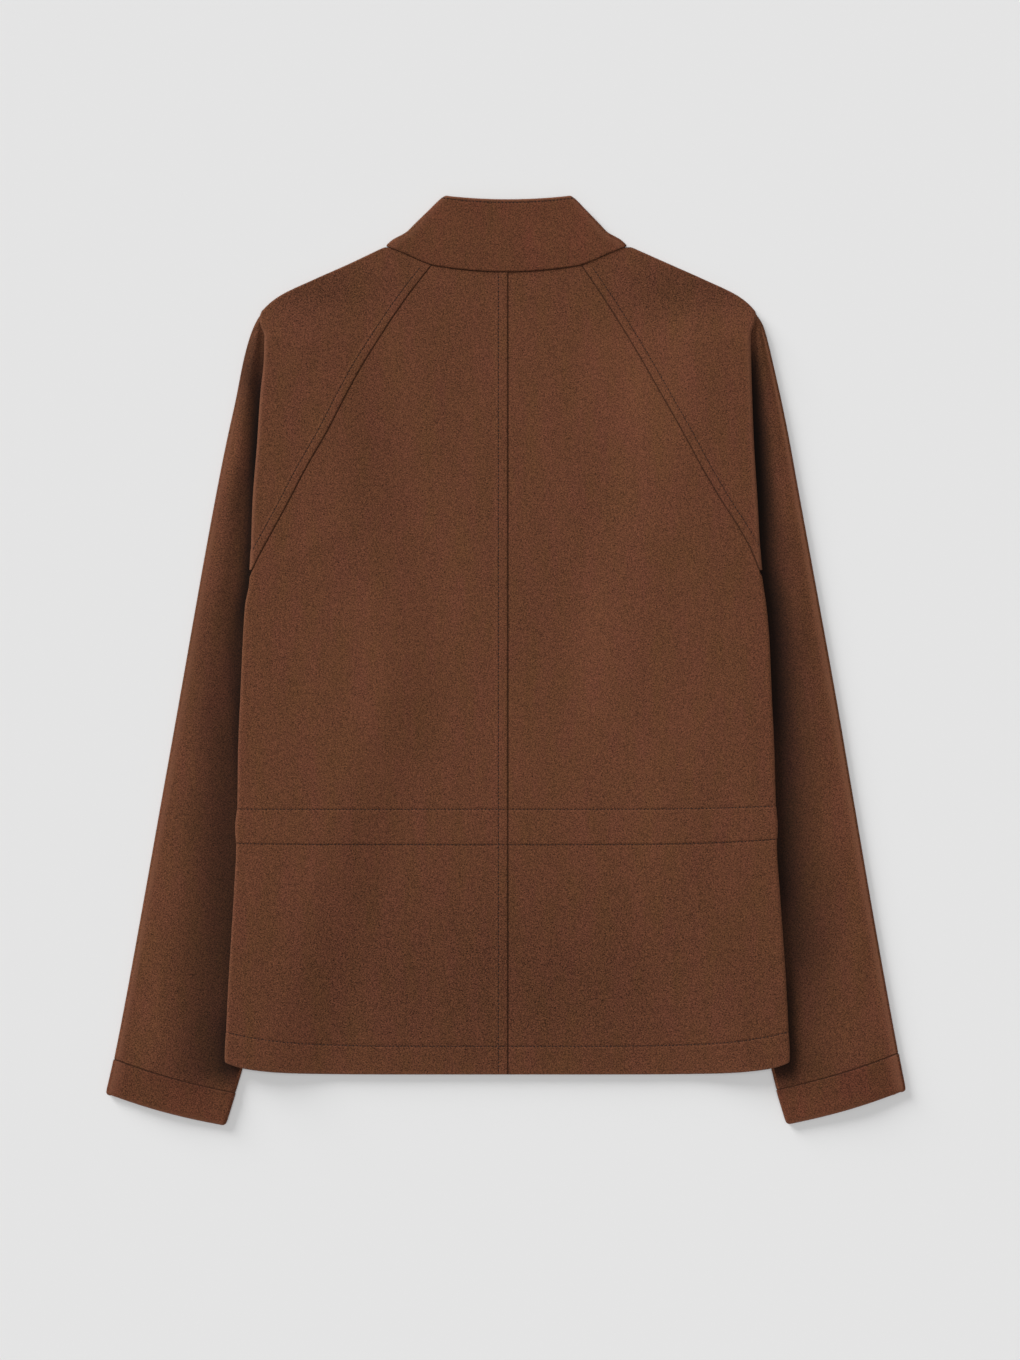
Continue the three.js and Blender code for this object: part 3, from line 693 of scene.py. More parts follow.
@dataclass(frozen=True)
class StitchRun:
    """One row of stitches: the points of its line, the surface normals there and its thread."""

    line: Array
    normal: Array
    pitch: float = 3.0
    length: float = 1.9
    width: float = 0.8

    def cloth(self) -> Cloth:
        """The row's stitches as small rounded bars that dip into the suede at both ends.

        Each bar has rings of six points, flattened in height; its middle stands about a quarter
        of a millimetre proud of the line and its ends lie below it.

        Returns:
            All bars of the row as one mesh.
        """
        step = np.linalg.norm(np.diff(self.line, axis=0), axis=1)
        run = np.concatenate([[0], np.cumsum(step)])
        count = int((run[-1] - self.length) // self.pitch)
        at = (run[-1] - count * self.pitch) / 2 + np.arange(count + 1) * self.pitch

        def read(rows: Array, where: Array) -> Array:
            """The rows' three columns at distances along the run."""
            return np.stack([np.interp(where, run, rows[:, k]) for k in range(3)], -1)

        place, up = read(self.line, at), read(self.normal, at)
        along = unit(read(self.line, at + 0.5) - read(self.line, at - 0.5))
        across = unit(np.cross(up, along))
        u = np.array([-1, -0.82, -0.35, 0.35, 0.82, 1])
        angle = np.arange(6) * np.pi / 3
        girth = np.array([0.35, 0.85, 1, 1, 0.85, 0.35]) * self.width / 2
        sink = np.array([-0.42, -0.2, -0.02, -0.02, -0.2, -0.42])
        flat = np.stack(np.broadcast_arrays(
            (u * self.length / 2)[:, None], girth[:, None] * np.cos(angle),
            sink[:, None] + girth[:, None] * np.sin(angle) * 0.8), -1).reshape(-1, 3)
        points = (place[:, None, :] + flat[None, :, :1] * along[:, None, :]
                  + flat[None, :, 1:2] * across[:, None, :] + flat[None, :, 2:] * up[:, None, :])
        i, k = np.meshgrid(np.arange(5), np.arange(6), indexing="ij")
        w = (k + 1) % 6
        side = np.stack([i * 6 + k, i * 6 + w, i * 6 + 6 + w, i * 6 + 6 + k], -1).reshape(-1, 4)
        caps = np.array([[3, 2, 1, 0], [5, 4, 3, 0], [30, 31, 32, 33], [30, 33, 34, 35]])
        bar = np.concatenate([side, caps])
        quads = (bar[None] + (np.arange(len(at)) * 36)[:, None, None]).reshape(-1, 4)
        return Cloth(points.reshape(-1, 3), quads)


def line_on(sheet: Sheet, a: Array, b: Array, turn: float, rise: Array | float) -> Cloth:
    """The stitches along a line of a surface's parameters, on its outer face.

    Args:
        sheet: The middle surface.
        a: First parameter along the line.
        b: Second parameter along it.
        turn: 1 or -1, which way the outer face lies.
        rise: Distance from the middle surface to the bed of the furrow.

    Returns:
        The stitches.
    """
    normal = normals_of(sheet, a, b) * turn
    return StitchRun(sheet(a, b) + normal * np.reshape(rise, (-1, 1)), normal).cloth()


@dataclass
class BodyPanel:
    """A half of the back, or a front: from the centre edge to the raglan and side seams."""

    form: HalfForm
    back: bool
    grid: float = 3.0

    @property
    def strip(self) -> bool:
        """Whether the felled strip beside the centre-back seam is on this panel."""
        return self.back and self.form.side is Side.LEFT

    @property
    def turn(self) -> float:
        """Which way the outer face lies: up on the back, down on the front."""
        return self.form.sign if self.back else -self.form.sign

    @property
    def start(self) -> float:
        """Where the path begins: half a gap from the centre seam or the front's opening."""
        gap = CUT.seam_shown if self.back else CUT.front_opening
        return self.form.sign * CUT.centre_back_x + gap / 2

    def sheet(self, s: Array, y: Array) -> Array:
        """The panel's middle surface; a front runs along the path's far end."""
        place = s if self.back else self.form.path_length(y) - s
        points = self.form.upper(place, y)
        creases = BACK_CREASES if self.back else UNDER_CREASES
        lift = creases_at(creases, points[..., 0], points[..., 1])
        lift = lift if self.back else np.maximum(lift, 0)
        seam = self.form.seam(y)
        fade = ease((seam - s) / 22) * ease(s / 22) * ease((y + 330) / 20)
        points[..., 2] += lift * fade
        return points

    def side_lift(self, edge: Array) -> Array:
        """How much higher than its own height a row of the back ends at the side."""
        return Curve.column(SIDE_LIFT, self.form.side.column)(edge) * self.back

    def row_end(self, edge: Array) -> Array:
        """Path length at the outer end of a row."""
        return self.form.seam(edge + self.side_lift(edge))

    def row_y(self, edge: Array, s: Array) -> Array:
        """Height at s on the row whose outer end is at edge.

        The row drops towards the centre by the neck's curve, which fades out below the neck, and
        by the side table's drop, each on a power of the distance from the centre. It rises to the
        side by the side's lift, and at the hem's corner by a much steeper power.
        """
        back, front = (CUT.nape_y, 2.0, 60.0), (CUT.front_neck_y, 1.6, 150.0)
        neck_y, bend, fade = back if self.back else front
        share = np.clip(np.abs(s / self.row_end(edge)), 0, 1)
        neck = (CUT.raglan_top_y - neck_y) * (1 - ease((CUT.raglan_top_y - edge) / fade))
        rows = np.asarray(SIDE_ROWS, float)
        drop = np.interp(-edge, -rows[:, 0], rows[:, 1]) * (edge < rows[0, 0])
        power = np.interp(-edge, -rows[:, 0], rows[:, 2])
        corner = CUT.hem_corner * share**40 * ease((HEM_EDGE + 14 - edge) / 14)
        lift = self.side_lift(edge) * share**4
        return edge - neck * (1 - share**bend) - drop * (1 - share**power) + lift + corner

    def rise(self, edge: Array, s: Array, y: Array) -> Array:
        """Relief of the outer face: channel, hem and strip raised, lines of stitches sunk.

        Beside each stitch line the suede is gathered into small uneven puckers.
        """
        band = (ease((CHANNEL_TOP + STEP - edge) / (2 * STEP))
                * ease((edge - CHANNEL_FOOT + STEP) / (2 * STEP))
                + ease((HEM_STITCH + STEP - edge) / (2 * STEP)))
        raised = band * (CUT.band_rise if self.back else 0.0)
        gather = sum(puckers(s, edge - line, *row) for line, *row in GATHERS)
        if self.strip:
            ramp = (s - self.start - CUT.seam_strip) / STRIP_RAMP
            raised = np.maximum(raised, CUT.strip_rise * (1 - ease(ramp)))
            gather = gather + puckers(y, self.beside(s), 15, 6, 0.07, 4)
        if self.back:
            gather = gather + puckers(y, s - self.start, 19, 7, 0.06, 5)
            end = self.row_end(edge) - s
            gather = gather + puckers(y, end, 16, 8 + self.form.side.column, 0.07, 6)
        sunk = FURROW * self.lines(edge, s, FURROW_WIDTH)
        return raised - sunk + gather * (1.0 if self.back else 0.4)

    def build(self) -> tuple[Cloth, Cloth]:
        """The panel's wall and its stitches."""
        edges = row_keys((CUT.raglan_top_y, HEM_EDGE), self.grid, LINES)
        near = (*SEAM_ROLL, *(CENTRE_STATIONS if self.strip else (3.5,)))
        far = (*SEAM_ROLL, 3.2, 4.4, 5.6, 6.8)
        end = self.row_end(edges) - CUT.seam_shown / 2
        s = spread(np.full(len(edges), self.start), end, near, far, 64)
        edge = np.broadcast_to(edges[:, None], s.shape)
        y = self.row_y(edge, s)
        inward, outward, down = s - self.start, end[:, None] - s, CUT.raglan_top_y - edge
        seam = nearest(outward, inward, down)
        free = free_edge(edge - HEM_EDGE, 1.0)
        half = CUT.cloth / 2
        outside = rolled(half, seam) + self.rise(edge, s, y) * ease(rounding(seam, ROLL))
        # Worn edges with a painted highlight along the rounded side and the hem, and painted shade
        # in the seams' grooves and the stitch furrows.
        rim = (0.6 * bell(self.row_end(edge) - s, 1.7) * ease((70 - edge) / 20)
               + 0.5 * bell(edge - HEM_EDGE, 1.6))
        gap = nearest(outward + 50 * (edge < self.form.raglan.keys[0]), down, inward)
        hollow = np.maximum(SEAM_SHADE * bell(gap, 0.6),
                            LINE_SHADE * self.lines(edge, s, SHADE_WIDTH))
        cloth = wall(self.sheet, s, y, self.turn, outside * free, half * free,
                     wear=rim, hollow=hollow)
        return cloth, self.stitches()

    def beside(self, s: Array) -> Array:
        """Distance from the stitch line of the felled strip."""
        return s - self.start - CUT.seam_strip + 0.2

    def lines(self, edge: Array, s: Array, width: float) -> Array:
        """1 on the stitch lines and fading beside them, over the given width."""
        on = sum(bell(edge - line, width) for line in LINES)
        return np.maximum(on, bell(self.beside(s), width)) if self.strip else on

    def stitches(self) -> Cloth:
        """The stitch lines on the outer face: channel, hem and, on one side, the felled strip."""
        start, ends = self.start + 1.6, [float(self.row_end(np.array(k))) - 1.6 for k in LINES]
        runs = [(np.full(160, k), np.linspace(start, end, 160)) for k, end in zip(LINES, ends)]
        if self.strip:
            edge = np.linspace(CUT.raglan_top_y - 2.2, HEM_EDGE + 2.5, 520)
            runs.append((edge, np.full_like(edge, self.start + CUT.seam_strip - 0.2)))
        made = []
        for edge, s in runs:
            y = self.row_y(edge, s)
            rise = CUT.cloth / 2 + self.rise(edge, s, y)
            made.append(line_on(self.sheet, s, y, self.turn, rise))
        return reduce(Cloth.joined, made)


@dataclass
class Sleeve:
    """A raglan sleeve: the head round the shoulder, and the lowered arm under it."""

    form: HalfForm
    grid: float = 3.2
    top: float = 339.7
    foot: float = 74.6
    arm_top: float = 292.0
    sewn_top: float = 326.0
    sewn_foot: float = 86.0

    def build(self) -> tuple[Cloth, Cloth]:
        """The sleeve's two walls as one mesh, and its stitches."""
        return self.head().joined(self.arm()), self.stitches()

    def head_sheet(self, s: Array, y: Array) -> Array:
        """The head's middle surface, with the back's creases running on over the seam."""
        points = self.form.upper(s, y)
        over = ease((self.form.fold_start(y) - s) / 14) * ease((s - self.form.seam(y)) / 22)
        points[..., 2] += over * creases_at(BACK_CREASES, points[..., 0], points[..., 1])
        return points

    def arm_sheet(self, t: Array, y: Array) -> Array:
        """The arm's middle surface, with soft creases on its upper layer."""
        return self.creased(self.form.arm(t, y, CUT.cloth, 0.0), t)

    def creased(self, points: Array, t: Array) -> Array:
        """Adds the arm's creases to its upper layer, clear of its folds and of the body."""
        turn = np.mod(t, 4.0)
        d, y = np.abs(points[..., 0]), points[..., 1]
        clear = ease((d - self.form.edge(y) - 1) / 14) * ease(turn / 0.12) * (turn < 1)
        points[..., 2] += clear * creases_at(ARM_CREASES, points[..., 0], y)
        return points

    def head(self) -> Cloth:
        """The head, from the back raglan seam over the fold to the front one."""
        form = self.form
        y1 = row_keys((self.top, self.foot), self.grid)
        whole = form.path_length(y1)
        start = form.seam(y1) + CUT.seam_shown / 2
        fold = np.maximum(form.fold_start(y1), start + 0.8)
        over = spread(start, fold, (*SEAM_ROLL, *RAGLAN_STATIONS), [0], 40)
        turn = fold[:, None] + (whole - 2 * fold)[:, None] * (np.arange(1, 12) / 12)[None, :]
        under = spread(whole - fold, whole - start, [0], (*SEAM_ROLL, 3.5), 30)
        s = np.concatenate([over, turn, under], 1)
        y = np.broadcast_to(y1[:, None], s.shape)
        beside, down = s - start[:, None], self.top - y
        seam = nearest(beside, (whole - start)[:, None] - s, down)
        strip = self.strip_rise(beside, y) * ease(rounding(seam, ROLL))
        # A worn edge with a painted highlight along the fold's top, and painted shade in the seam's
        # groove and the stitch furrow.
        wear = (0.6 * bell(s - (fold + (whole - 2 * fold) * 0.3)[:, None], 2.4)
                * ease((285 - y) / 25))
        line = bell(beside - RAGLAN_STITCH, SHADE_WIDTH) * self.stitched(y)
        hollow = np.maximum(SEAM_SHADE * bell(nearest(beside, down), 0.6), LINE_SHADE * line)
        return wall(self.head_sheet, s, y, form.sign, rolled(CUT.cloth / 2, seam) + strip,
                    CUT.cloth / 2, wear=wear, hollow=hollow)

    def stitched(self, y: Array) -> Array:
        """1 where the raglan strip is stitched, fading out at the seam's ends."""
        return ease((self.sewn_top - y) / 3) * ease((y - self.sewn_foot) / 10)

    def strip_rise(self, beside: Array, y: Array) -> Array:
        """Relief beside the raglan seam: the raised strip and the furrow of its stitches."""
        ramp = (beside - CUT.raglan_strip) / STRIP_RAMP
        strip = CUT.strip_rise * (1 - ease(ramp)) * ease((self.sewn_top - y) / 3)
        line = beside - RAGLAN_STITCH
        gather = puckers(y, line, 14, 11 + self.form.side.column, 0.09, 4.5)
        return strip + (gather - FURROW * bell(line, FURROW_WIDTH)) * self.stitched(y)

    def arm(self) -> Cloth:
        """The lowered arm, from under the head to the cuff seam."""
        form = self.form
        foot = CUFF_SEAM[form.side] + CUT.seam_shown / 2
        t, y = np.meshgrid(arm_round(), row_keys((self.arm_top, foot), self.grid))
        up = y - foot
        outside = rolled(CUT.cloth / 2, up) + puckers(t * ARM_SPAN, up, 21, 17, 0.06, 6)
        # Painted shade beside the body and in the seam's groove, and a worn edge with a painted
        # highlight along the outer fold.
        hollow = np.maximum(arm_hollow(form, form.arm(t, y, CUT.cloth, 0.0), t),
                            SEAM_SHADE * bell(up, 0.5))
        return wall(self.arm_sheet, t, y, -form.sign, outside, CUT.cloth / 2, wrapped=True,
                    wear=bell(from_fold(t), 0.03), hollow=hollow)

    def stitches(self) -> Cloth:
        """The stitches of the raglan strip, along the back seam."""
        y = np.linspace(self.sewn_top - 2.5, self.sewn_foot + 5, 300)
        beside = np.full_like(y, RAGLAN_STITCH)
        s = self.form.seam(y) + CUT.seam_shown / 2 + beside
        rise = CUT.cloth / 2 + self.strip_rise(beside, y)
        return line_on(self.head_sheet, s, y, self.form.sign, rise)


def arm_round() -> Array:
    """Stations round the arm's section, closer at its two folds."""
    counts = ((0, 50), (1, 10), (2, 36), (3, 10))
    return np.concatenate([k + np.linspace(0, 1, n, endpoint=False) for k, n in counts])


def from_fold(t: Array) -> Array:
    """Distance round the section from the outer fold."""
    return np.minimum(np.mod(t, 4), 4 - np.mod(t, 4))


# The painted shade on the arm beside the body: height; depth and reach of the broad shade; depth
# and reach of the close one. A scratch program fitted these numbers to how light the photo is
# there: they weren't set by hand, and are no example to follow.
ARM_SHADE = {
    Side.LEFT: (
        (255, 0.48, 62, 0.00, 12), (239, 0.52, 42, 0.40, 24), (214, 0.72, 26, 0.84, 10),
        (173, 0.76, 20, 0.96, 10), (132, 0.68, 34, 0.76, 8), (91, 0.52, 42, 0.84, 12),
        (50, 0.48, 52, 0.88, 14), (9, 0.44, 62, 0.68, 20), (-32, 0.52, 62, 0.72, 14),
        (-81, 0.68, 52, 0.56, 6), (-130, 0.68, 62, 0.04, 4), (-229, 0.64, 62, 0.28, 8),
        (-270, 0.60, 62, 0.28, 6), (-303, 0.68, 62, 0.52, 10),
    ),
    Side.RIGHT: (
        (255, 0.04, 20, 0.68, 14), (239, 0.44, 20, 0.88, 14), (214, 0.76, 20, 0.88, 16),
        (173, 0.72, 20, 0.96, 24), (132, 0.72, 26, 0.92, 24), (91, 0.76, 42, 0.88, 16),
        (50, 0.72, 42, 0.84, 24), (9, 0.72, 52, 0.80, 24), (-32, 0.72, 52, 0.84, 24),
        (-81, 0.76, 52, 0.44, 24), (-130, 0.76, 52, 0.40, 24), (-180, 0.72, 62, 0.68, 24),
        (-229, 0.76, 62, 0.00, 20), (-270, 0.48, 62, 0.72, 14), (-303, 0.40, 52, 0.80, 12),
    ),
}


def arm_hollow(form: HalfForm, points: Array, t: Array) -> Array:
    """Painted shade on the arm's upper layer in the nook beside the body, 0 to 1.

    Each shade lets through 1 - depth * (1 - smooth step of distance / reach), with its values read
    from the side's table; the result is 1 less the two shares multiplied.
    """
    d, y = np.abs(points[..., 0]), points[..., 1]
    beyond = np.maximum(d - form.edge(np.maximum(y, HEM_EDGE)), 0)
    rows = ARM_SHADE[form.side]
    broad, reach, near, rim = (Curve.column(rows, k)(y) for k in range(1, 5))
    through = (1 - broad * (1 - ease(beyond / reach))) * (1 - near * (1 - ease(beyond / rim)))
    below_hem = ease((y - (HEM_EDGE - 30)) / 30)
    top = (np.mod(t, 4.0) < 1.05) | (np.mod(t, 4.0) > 3.4)
    return (1 - through) * top * below_hem * ease((290 - y) / 40)


@dataclass
class CuffBand:
    """The band sewn to the sleeve's end, a little wider than the sleeve."""

    form: HalfForm
    grid: float = 2.6

    def sheet(self, t: Array, y: Array) -> Array:
        """The cuff's middle surface, with its corners rounded in plan."""
        corner = CUT.cuff_corner * (1 - rounding(y - CUFF_END[self.form.side], CUT.cuff_corner))
        return self.form.arm(t, y, CUT.cuff_cloth, CUT.cuff_step - corner)

    def build(self) -> Cloth:
        """The cuff's wall, rolled at its seam and turned in at its free edge."""
        form = self.form
        top, foot = CUFF_SEAM[form.side] - CUT.seam_shown / 2, CUFF_END[form.side]
        t, y = np.meshgrid(arm_round(), row_keys((top, foot), self.grid))
        half, down, free = CUT.cuff_cloth / 2, top - y, free_edge(y - foot, 1.0)
        gather = puckers(t * ARM_SPAN, down, 18, 19, 0.07, 6) * rounding(down, 2)
        # Painted shade beside the body and in the seam's groove, and worn edges with a painted
        # highlight along the fold and the free edge.
        shade = 0.6 * arm_hollow(form, form.arm(t, y, CUT.cuff_cloth, CUT.cuff_step), t)
        return wall(self.sheet, t, y, -form.sign, half * banded(down) * free + gather,
                    half * free, wrapped=True,
                    wear=np.maximum(bell(from_fold(t), 0.06), bell(y - foot, 2.0)),
                    hollow=np.maximum(shade, SEAM_SHADE * bell(down, 0.5)))


@dataclass
class StandCollar:
    """The stand collar, with its stitched top edge, open at the centre front."""

    form: CollarForm

    def rise(self, h: Array, t: Array) -> Array:
        """Relief: the furrow of the edge stitch below the top, and faint puckers beside it."""
        line = (1 - h) * COLLAR_HEIGHT - COLLAR_STITCH
        gather = puckers(t * COLLAR_SPAN, line, 16, 23, 0.05, 4)
        return gather - COLLAR_FURROW * bell(line, FURROW_WIDTH)

    def build(self) -> tuple[Cloth, Cloth]:
        """The collar's wall and the stitches of its edge."""
        stitched = COLLAR_HEIGHT - COLLAR_STITCH
        h1 = row_keys((COLLAR_HEIGHT, 0.0), 2.6, (stitched,)) / COLLAR_HEIGHT
        ends = (0, 0.0012, 0.0036, 0.0075, 0.013, 0.022)
        front = np.concatenate([ends, np.linspace(0.03, 1, 34, endpoint=False)])
        fold = np.linspace(1, 2, 12, endpoint=False)
        t1 = np.concatenate([front, fold, np.linspace(2, 3, 69), 5 - front, 5 - fold])
        t, h = np.meshgrid(np.unique(np.round(t1, 6)), h1)
        half, up, down = CUT.collar_cloth / 2, h * COLLAR_HEIGHT, (1 - h) * COLLAR_HEIGHT
        edge = nearest(down, nearest(t, 5 - t) * FRONT_SPAN)
        free = free_edge(edge, 1.2)
        outside = half * free * banded(up) + self.rise(h, t) * rounding(edge, 1.2)
        # Worn edges with a painted highlight along the top and the folded sides, and painted shade
        # in the neck seam's groove and the stitch furrow.
        wear = bell(down, 1.6) + 0.6 * bell(nearest(np.abs(t - 2), np.abs(t - 3)), 0.02)
        hollow = np.maximum(SEAM_SHADE * bell(up, 0.4),
                            LINE_SHADE * bell(down - COLLAR_STITCH, SHADE_WIDTH))
        cloth = wall(self.form.point, t, h, 1.0, outside, half * free, wear=wear, hollow=hollow)
        line = np.linspace(0.04, 4.96, 500)
        high = np.full_like(line, stitched / COLLAR_HEIGHT)
        return cloth, line_on(self.form.point, line, high, 1.0, half + self.rise(high, line))


def linear(srgb: Sequence[float]) -> tuple[float, ...]:
    """A colour of 0 to 255 as the linear colour that a shader takes.

    Each share c of 255 becomes ((c + 0.055) / 1.055) ** 2.4.
    """
    return (*(((c / 255 + 0.055) / 1.055) ** 2.4 for c in srgb), 1.0)


class Nodes:
    """A short way to add and join the nodes of one tree."""

    def __init__(self, tree: NodeTree) -> None:
        """Keeps the tree of a material or a group."""
        self.tree = tree

    def add(self, kind: str, values: dict | None = None, **settings: object) -> bpy.types.Node:
        """A new node.

        Args:
            kind: Its type.
            values: A socket or a value for each input, by name or number.
            **settings: Values of the node's own properties.

        Returns:
            The node.
        """
        node = self.tree.nodes.new(kind)
        for key, value in settings.items():
            setattr(node, key, value)
        for key, value in (values or {}).items():
            self.feed(value, node.inputs[key])
        return node

    def feed(self, source: object, target: Socket) -> None:
        """Links an output to an input, or sets the input to a plain value."""
        if isinstance(source, Socket):
            self.tree.links.new(source, target)
        else:
            target.default_value = source

    def plus(self, a: object, b: object) -> Socket:
        """The sum of two sockets or numbers."""
        return self.add("ShaderNodeMath", {0: a, 1: b}, operation="ADD").outputs[0]

    def times(self, a: object, b: object) -> Socket:
        """The product of two sockets or numbers."""
        return self.add("ShaderNodeMath", {0: a, 1: b}, operation="MULTIPLY").outputs[0]

    def blend(self, share: object, a: object, b: object, kind: str = "MIX") -> Socket:
        """The colour output of a Mix node; each input is a socket or a value."""
        values = {0: share, 6: a, 7: b}
        return self.add("ShaderNodeMix", values, data_type="RGBA", blend_type=kind).outputs[2]

    def noise(self, place: object, scale: object, detail: float, rough: float) -> Socket:
        """The value of a Noise Texture read at the given place."""
        values = {"Vector": place, "Scale": scale, "Detail": detail, "Roughness": rough}
        return self.add("ShaderNodeTexNoise", values).outputs[0]

    def place(self) -> Socket:
        """The place on the piece, in its own frame."""
        return self.add("ShaderNodeTexCoord").outputs["Object"]

    def group(self, tree: NodeTree, values: dict) -> bpy.types.bpy_prop_collection:
        """The outputs of a node group fed with the given values."""
        return self.add("ShaderNodeGroup", values, node_tree=tree).outputs

    def marked(self, title: str) -> Socket:
        """A piece's own attribute."""
        return self.add("ShaderNodeAttribute", attribute_name=title).outputs["Fac"]

    def ranged(self, value: object, **ends: float) -> Socket:
        """A value moved from one range to another; ends are from_min, from_max, to_min, to_max."""
        values = {key.replace("_", " ").title(): end for key, end in ends.items()}
        return self.add("ShaderNodeMapRange", {"Value": value, **values}).outputs[0]

    def surface(self, height: object, strength: float, distance: float, values: dict) -> None:
        """Puts a bumped Principled shader on the material.

        Args:
            height: The bump's height.
            strength: Its strength.
            distance: Its depth in metres.
            values: A socket or a value for each input of the shader.
        """
        bump = {"Height": height, "Strength": strength, "Distance": distance}
        values = {**values, "Normal": self.add("ShaderNodeBump", bump).outputs[0]}
        shader = self.add("ShaderNodeBsdfPrincipled", values)
        self.add("ShaderNodeOutputMaterial", {"Surface": shader.outputs[0]})


def new_material(name: str) -> tuple[Material, Nodes]:
    """An empty material of nodes, and its node helper."""
    material = bpy.data.materials.new(name)
    material.use_nodes = True
    material.node_tree.nodes.clear()
    return material, Nodes(material.node_tree)


def new_group(name: str, inputs: dict[str, str], outputs: dict[str, str]) -> tuple:
    """A shader node group with named sockets.

    Args:
        name: The group's name.
        inputs: The kind of each input: Vector, Color or Float.
        outputs: The kind of each output.

    Returns:
        The tree, its node helper, the sockets given to it and those that it puts out.
    """
    tree = bpy.data.node_groups.new(name, "ShaderNodeTree")
    for way, sockets in (("INPUT", inputs), ("OUTPUT", outputs)):
        for title, kind in sockets.items():
            tree.interface.new_socket(title, in_out=way, socket_type="NodeSocket" + kind)
    nodes = Nodes(tree)
    return tree, nodes, nodes.add("NodeGroupInput").outputs, nodes.add("NodeGroupOutput").inputs


def nap_group() -> NodeTree:
    """The suede's nap: brushed patches, fine grain and the height of the fibres.

    Patch is the long upright streaks of the nap and Drift its slow change, Grain the speckle of
    fibre tufts, Height a mix of three fine noises for the bump. All are noises read at the
    piece's own place, the fine ones tilted, so that flat cloth isn't a slice along their grid.
    """
    tree, n, given, out = new_group(
        "suede_nap", {"Vector": "Vector", "Patch Scale": "Float", "Grain Scale": "Float"},
        {"Patch": "Float", "Drift": "Float", "Grain": "Float", "Height": "Float"})
    place, patch_scale, grain_scale = given["Vector"], given["Patch Scale"], given["Grain Scale"]
    drawn = n.add("ShaderNodeVectorMath", {0: place, 1: (2.0, 0.55, 1.0)},
                  operation="MULTIPLY").outputs[0]
    tilted = n.add("ShaderNodeVectorRotate", {"Vector": place, "Rotation": (0.62, 0.87, 0.35)},
                   rotation_type="EULER_XYZ").outputs[0]
    grain = n.noise(tilted, grain_scale, 2.0, 0.55)
    tuft = n.noise(tilted, n.times(grain_scale, 0.42), 2.0, 0.6)
    fibre = n.noise(tilted, n.times(grain_scale, 3.1), 2.0, 0.6)
    made = {
        "Patch": n.noise(drawn, patch_scale, 3.0, 0.55),
        "Drift": n.noise(drawn, n.times(patch_scale, 0.33), 1.5, 0.5),
        "Grain": n.plus(n.times(grain, 0.95), n.times(tuft, 0.05)),
        "Height": n.plus(n.plus(n.times(grain, 0.6), n.times(fibre, 0.25)), n.times(tuft, 0.15)),
    }
    for title, socket in made.items():
        n.feed(socket, out[title])
    return tree


def wear_group() -> NodeTree:
    """Worn edges with a painted highlight, and painted shade, over a colour.

    The colour moves towards the lighter edge colour by the piece's mark of worn edges and painted
    highlight, broken up by Patch, and towards near black by its mark of painted shade.
    """
    tree, n, given, out = new_group(
        "edge_wear", {"Color": "Color", "Rubbed": "Color", "Deep": "Color", "Patch": "Float",
                      "Rub": "Float", "Depth": "Float"}, {"Color": "Color"})
    # Worn edges with a painted highlight lighten the colour, broken up by Patch.
    broken = n.plus(n.times(given["Patch"], 0.7), 0.65)
    rub = n.times(n.times(n.marked("wear"), broken), given["Rub"])
    rubbed = n.blend(rub, given["Color"], given["Rubbed"])
    # Painted shade darkens the colour towards near black.
    sunk = n.times(n.marked("hollow"), given["Depth"])
    n.feed(n.blend(sunk, rubbed, given["Deep"]), out["Color"])
    return tree


@dataclass(frozen=True)
class SuedeFinish:
    """Brushed suede: two browns that drift together, a fine nap, worn edges with painted highlight,
    painted light and shade.
    """

    name: str = "suede"
    red_brown: Colour = (100, 59, 42)
    earth_brown: Colour = (96, 60, 38)
    # The next colour lightens worn edges and also paints a highlight on rounded ones; the one after
    # it is the near-black painted shade.
    rubbed: Colour = (128, 84, 63)
    deep: Colour = (9, 5, 4)
    patch_scale: float = 34.0
    grain_scale: float = 1080.0
    grain_contrast: float = 3.6
    drift_contrast: float = 0.22
    # Strengths of the worn edges with painted highlight and of the painted shade.
    rub: float = 0.55
    depth: float = 1.0
    bump: float = 0.45
    height: float = 0.0006
    specular: float = 0.12
    sheen: float = 0.18
    sheen_tint: Colour = (205, 150, 118)

    def material(self, nap: NodeTree, wear: NodeTree) -> Material:
        """The finish as a material.

        Args:
            nap: The group of the suede's nap.
            wear: The group of worn edges with a painted highlight, and painted shade.

        Returns:
            The material.
        """
        material, n = new_material(self.name)
        fibres = n.group(nap, {"Vector": n.place(), "Patch Scale": self.patch_scale,
                               "Grain Scale": self.grain_scale})
        hue = n.ranged(fibres["Patch"], from_min=0.3, from_max=0.7)
        brown = n.blend(hue, linear(self.red_brown), linear(self.earth_brown))
        speck = n.times(n.plus(fibres["Grain"], -0.5), self.grain_contrast)
        swell = n.times(n.plus(fibres["Drift"], -0.5), self.drift_contrast)
        # The patches of painted light and shade brighten or darken the brown, along with the grain
        # and the drift.
        light = n.plus(n.plus(speck, swell), n.plus(n.marked("painted_light_patches"), 0.5))
        grey = n.add("ShaderNodeCombineColor", dict.fromkeys(range(3), light)).outputs[0]
        colour = n.group(wear, {
            "Color": n.blend(1.0, brown, grey, "MULTIPLY"), "Patch": fibres["Patch"],
            "Rubbed": linear(self.rubbed), "Deep": linear(self.deep),
            "Rub": self.rub, "Depth": self.depth})["Color"]
        n.surface(fibres["Height"], self.bump, self.height, {
            "Base Color": colour, "Roughness": n.ranged(fibres["Grain"], to_min=0.86, to_max=0.98),
            "Specular IOR Level": self.specular, "Sheen Weight": self.sheen,
            "Sheen Roughness": 0.45, "Sheen Tint": linear(self.sheen_tint)})
        return material


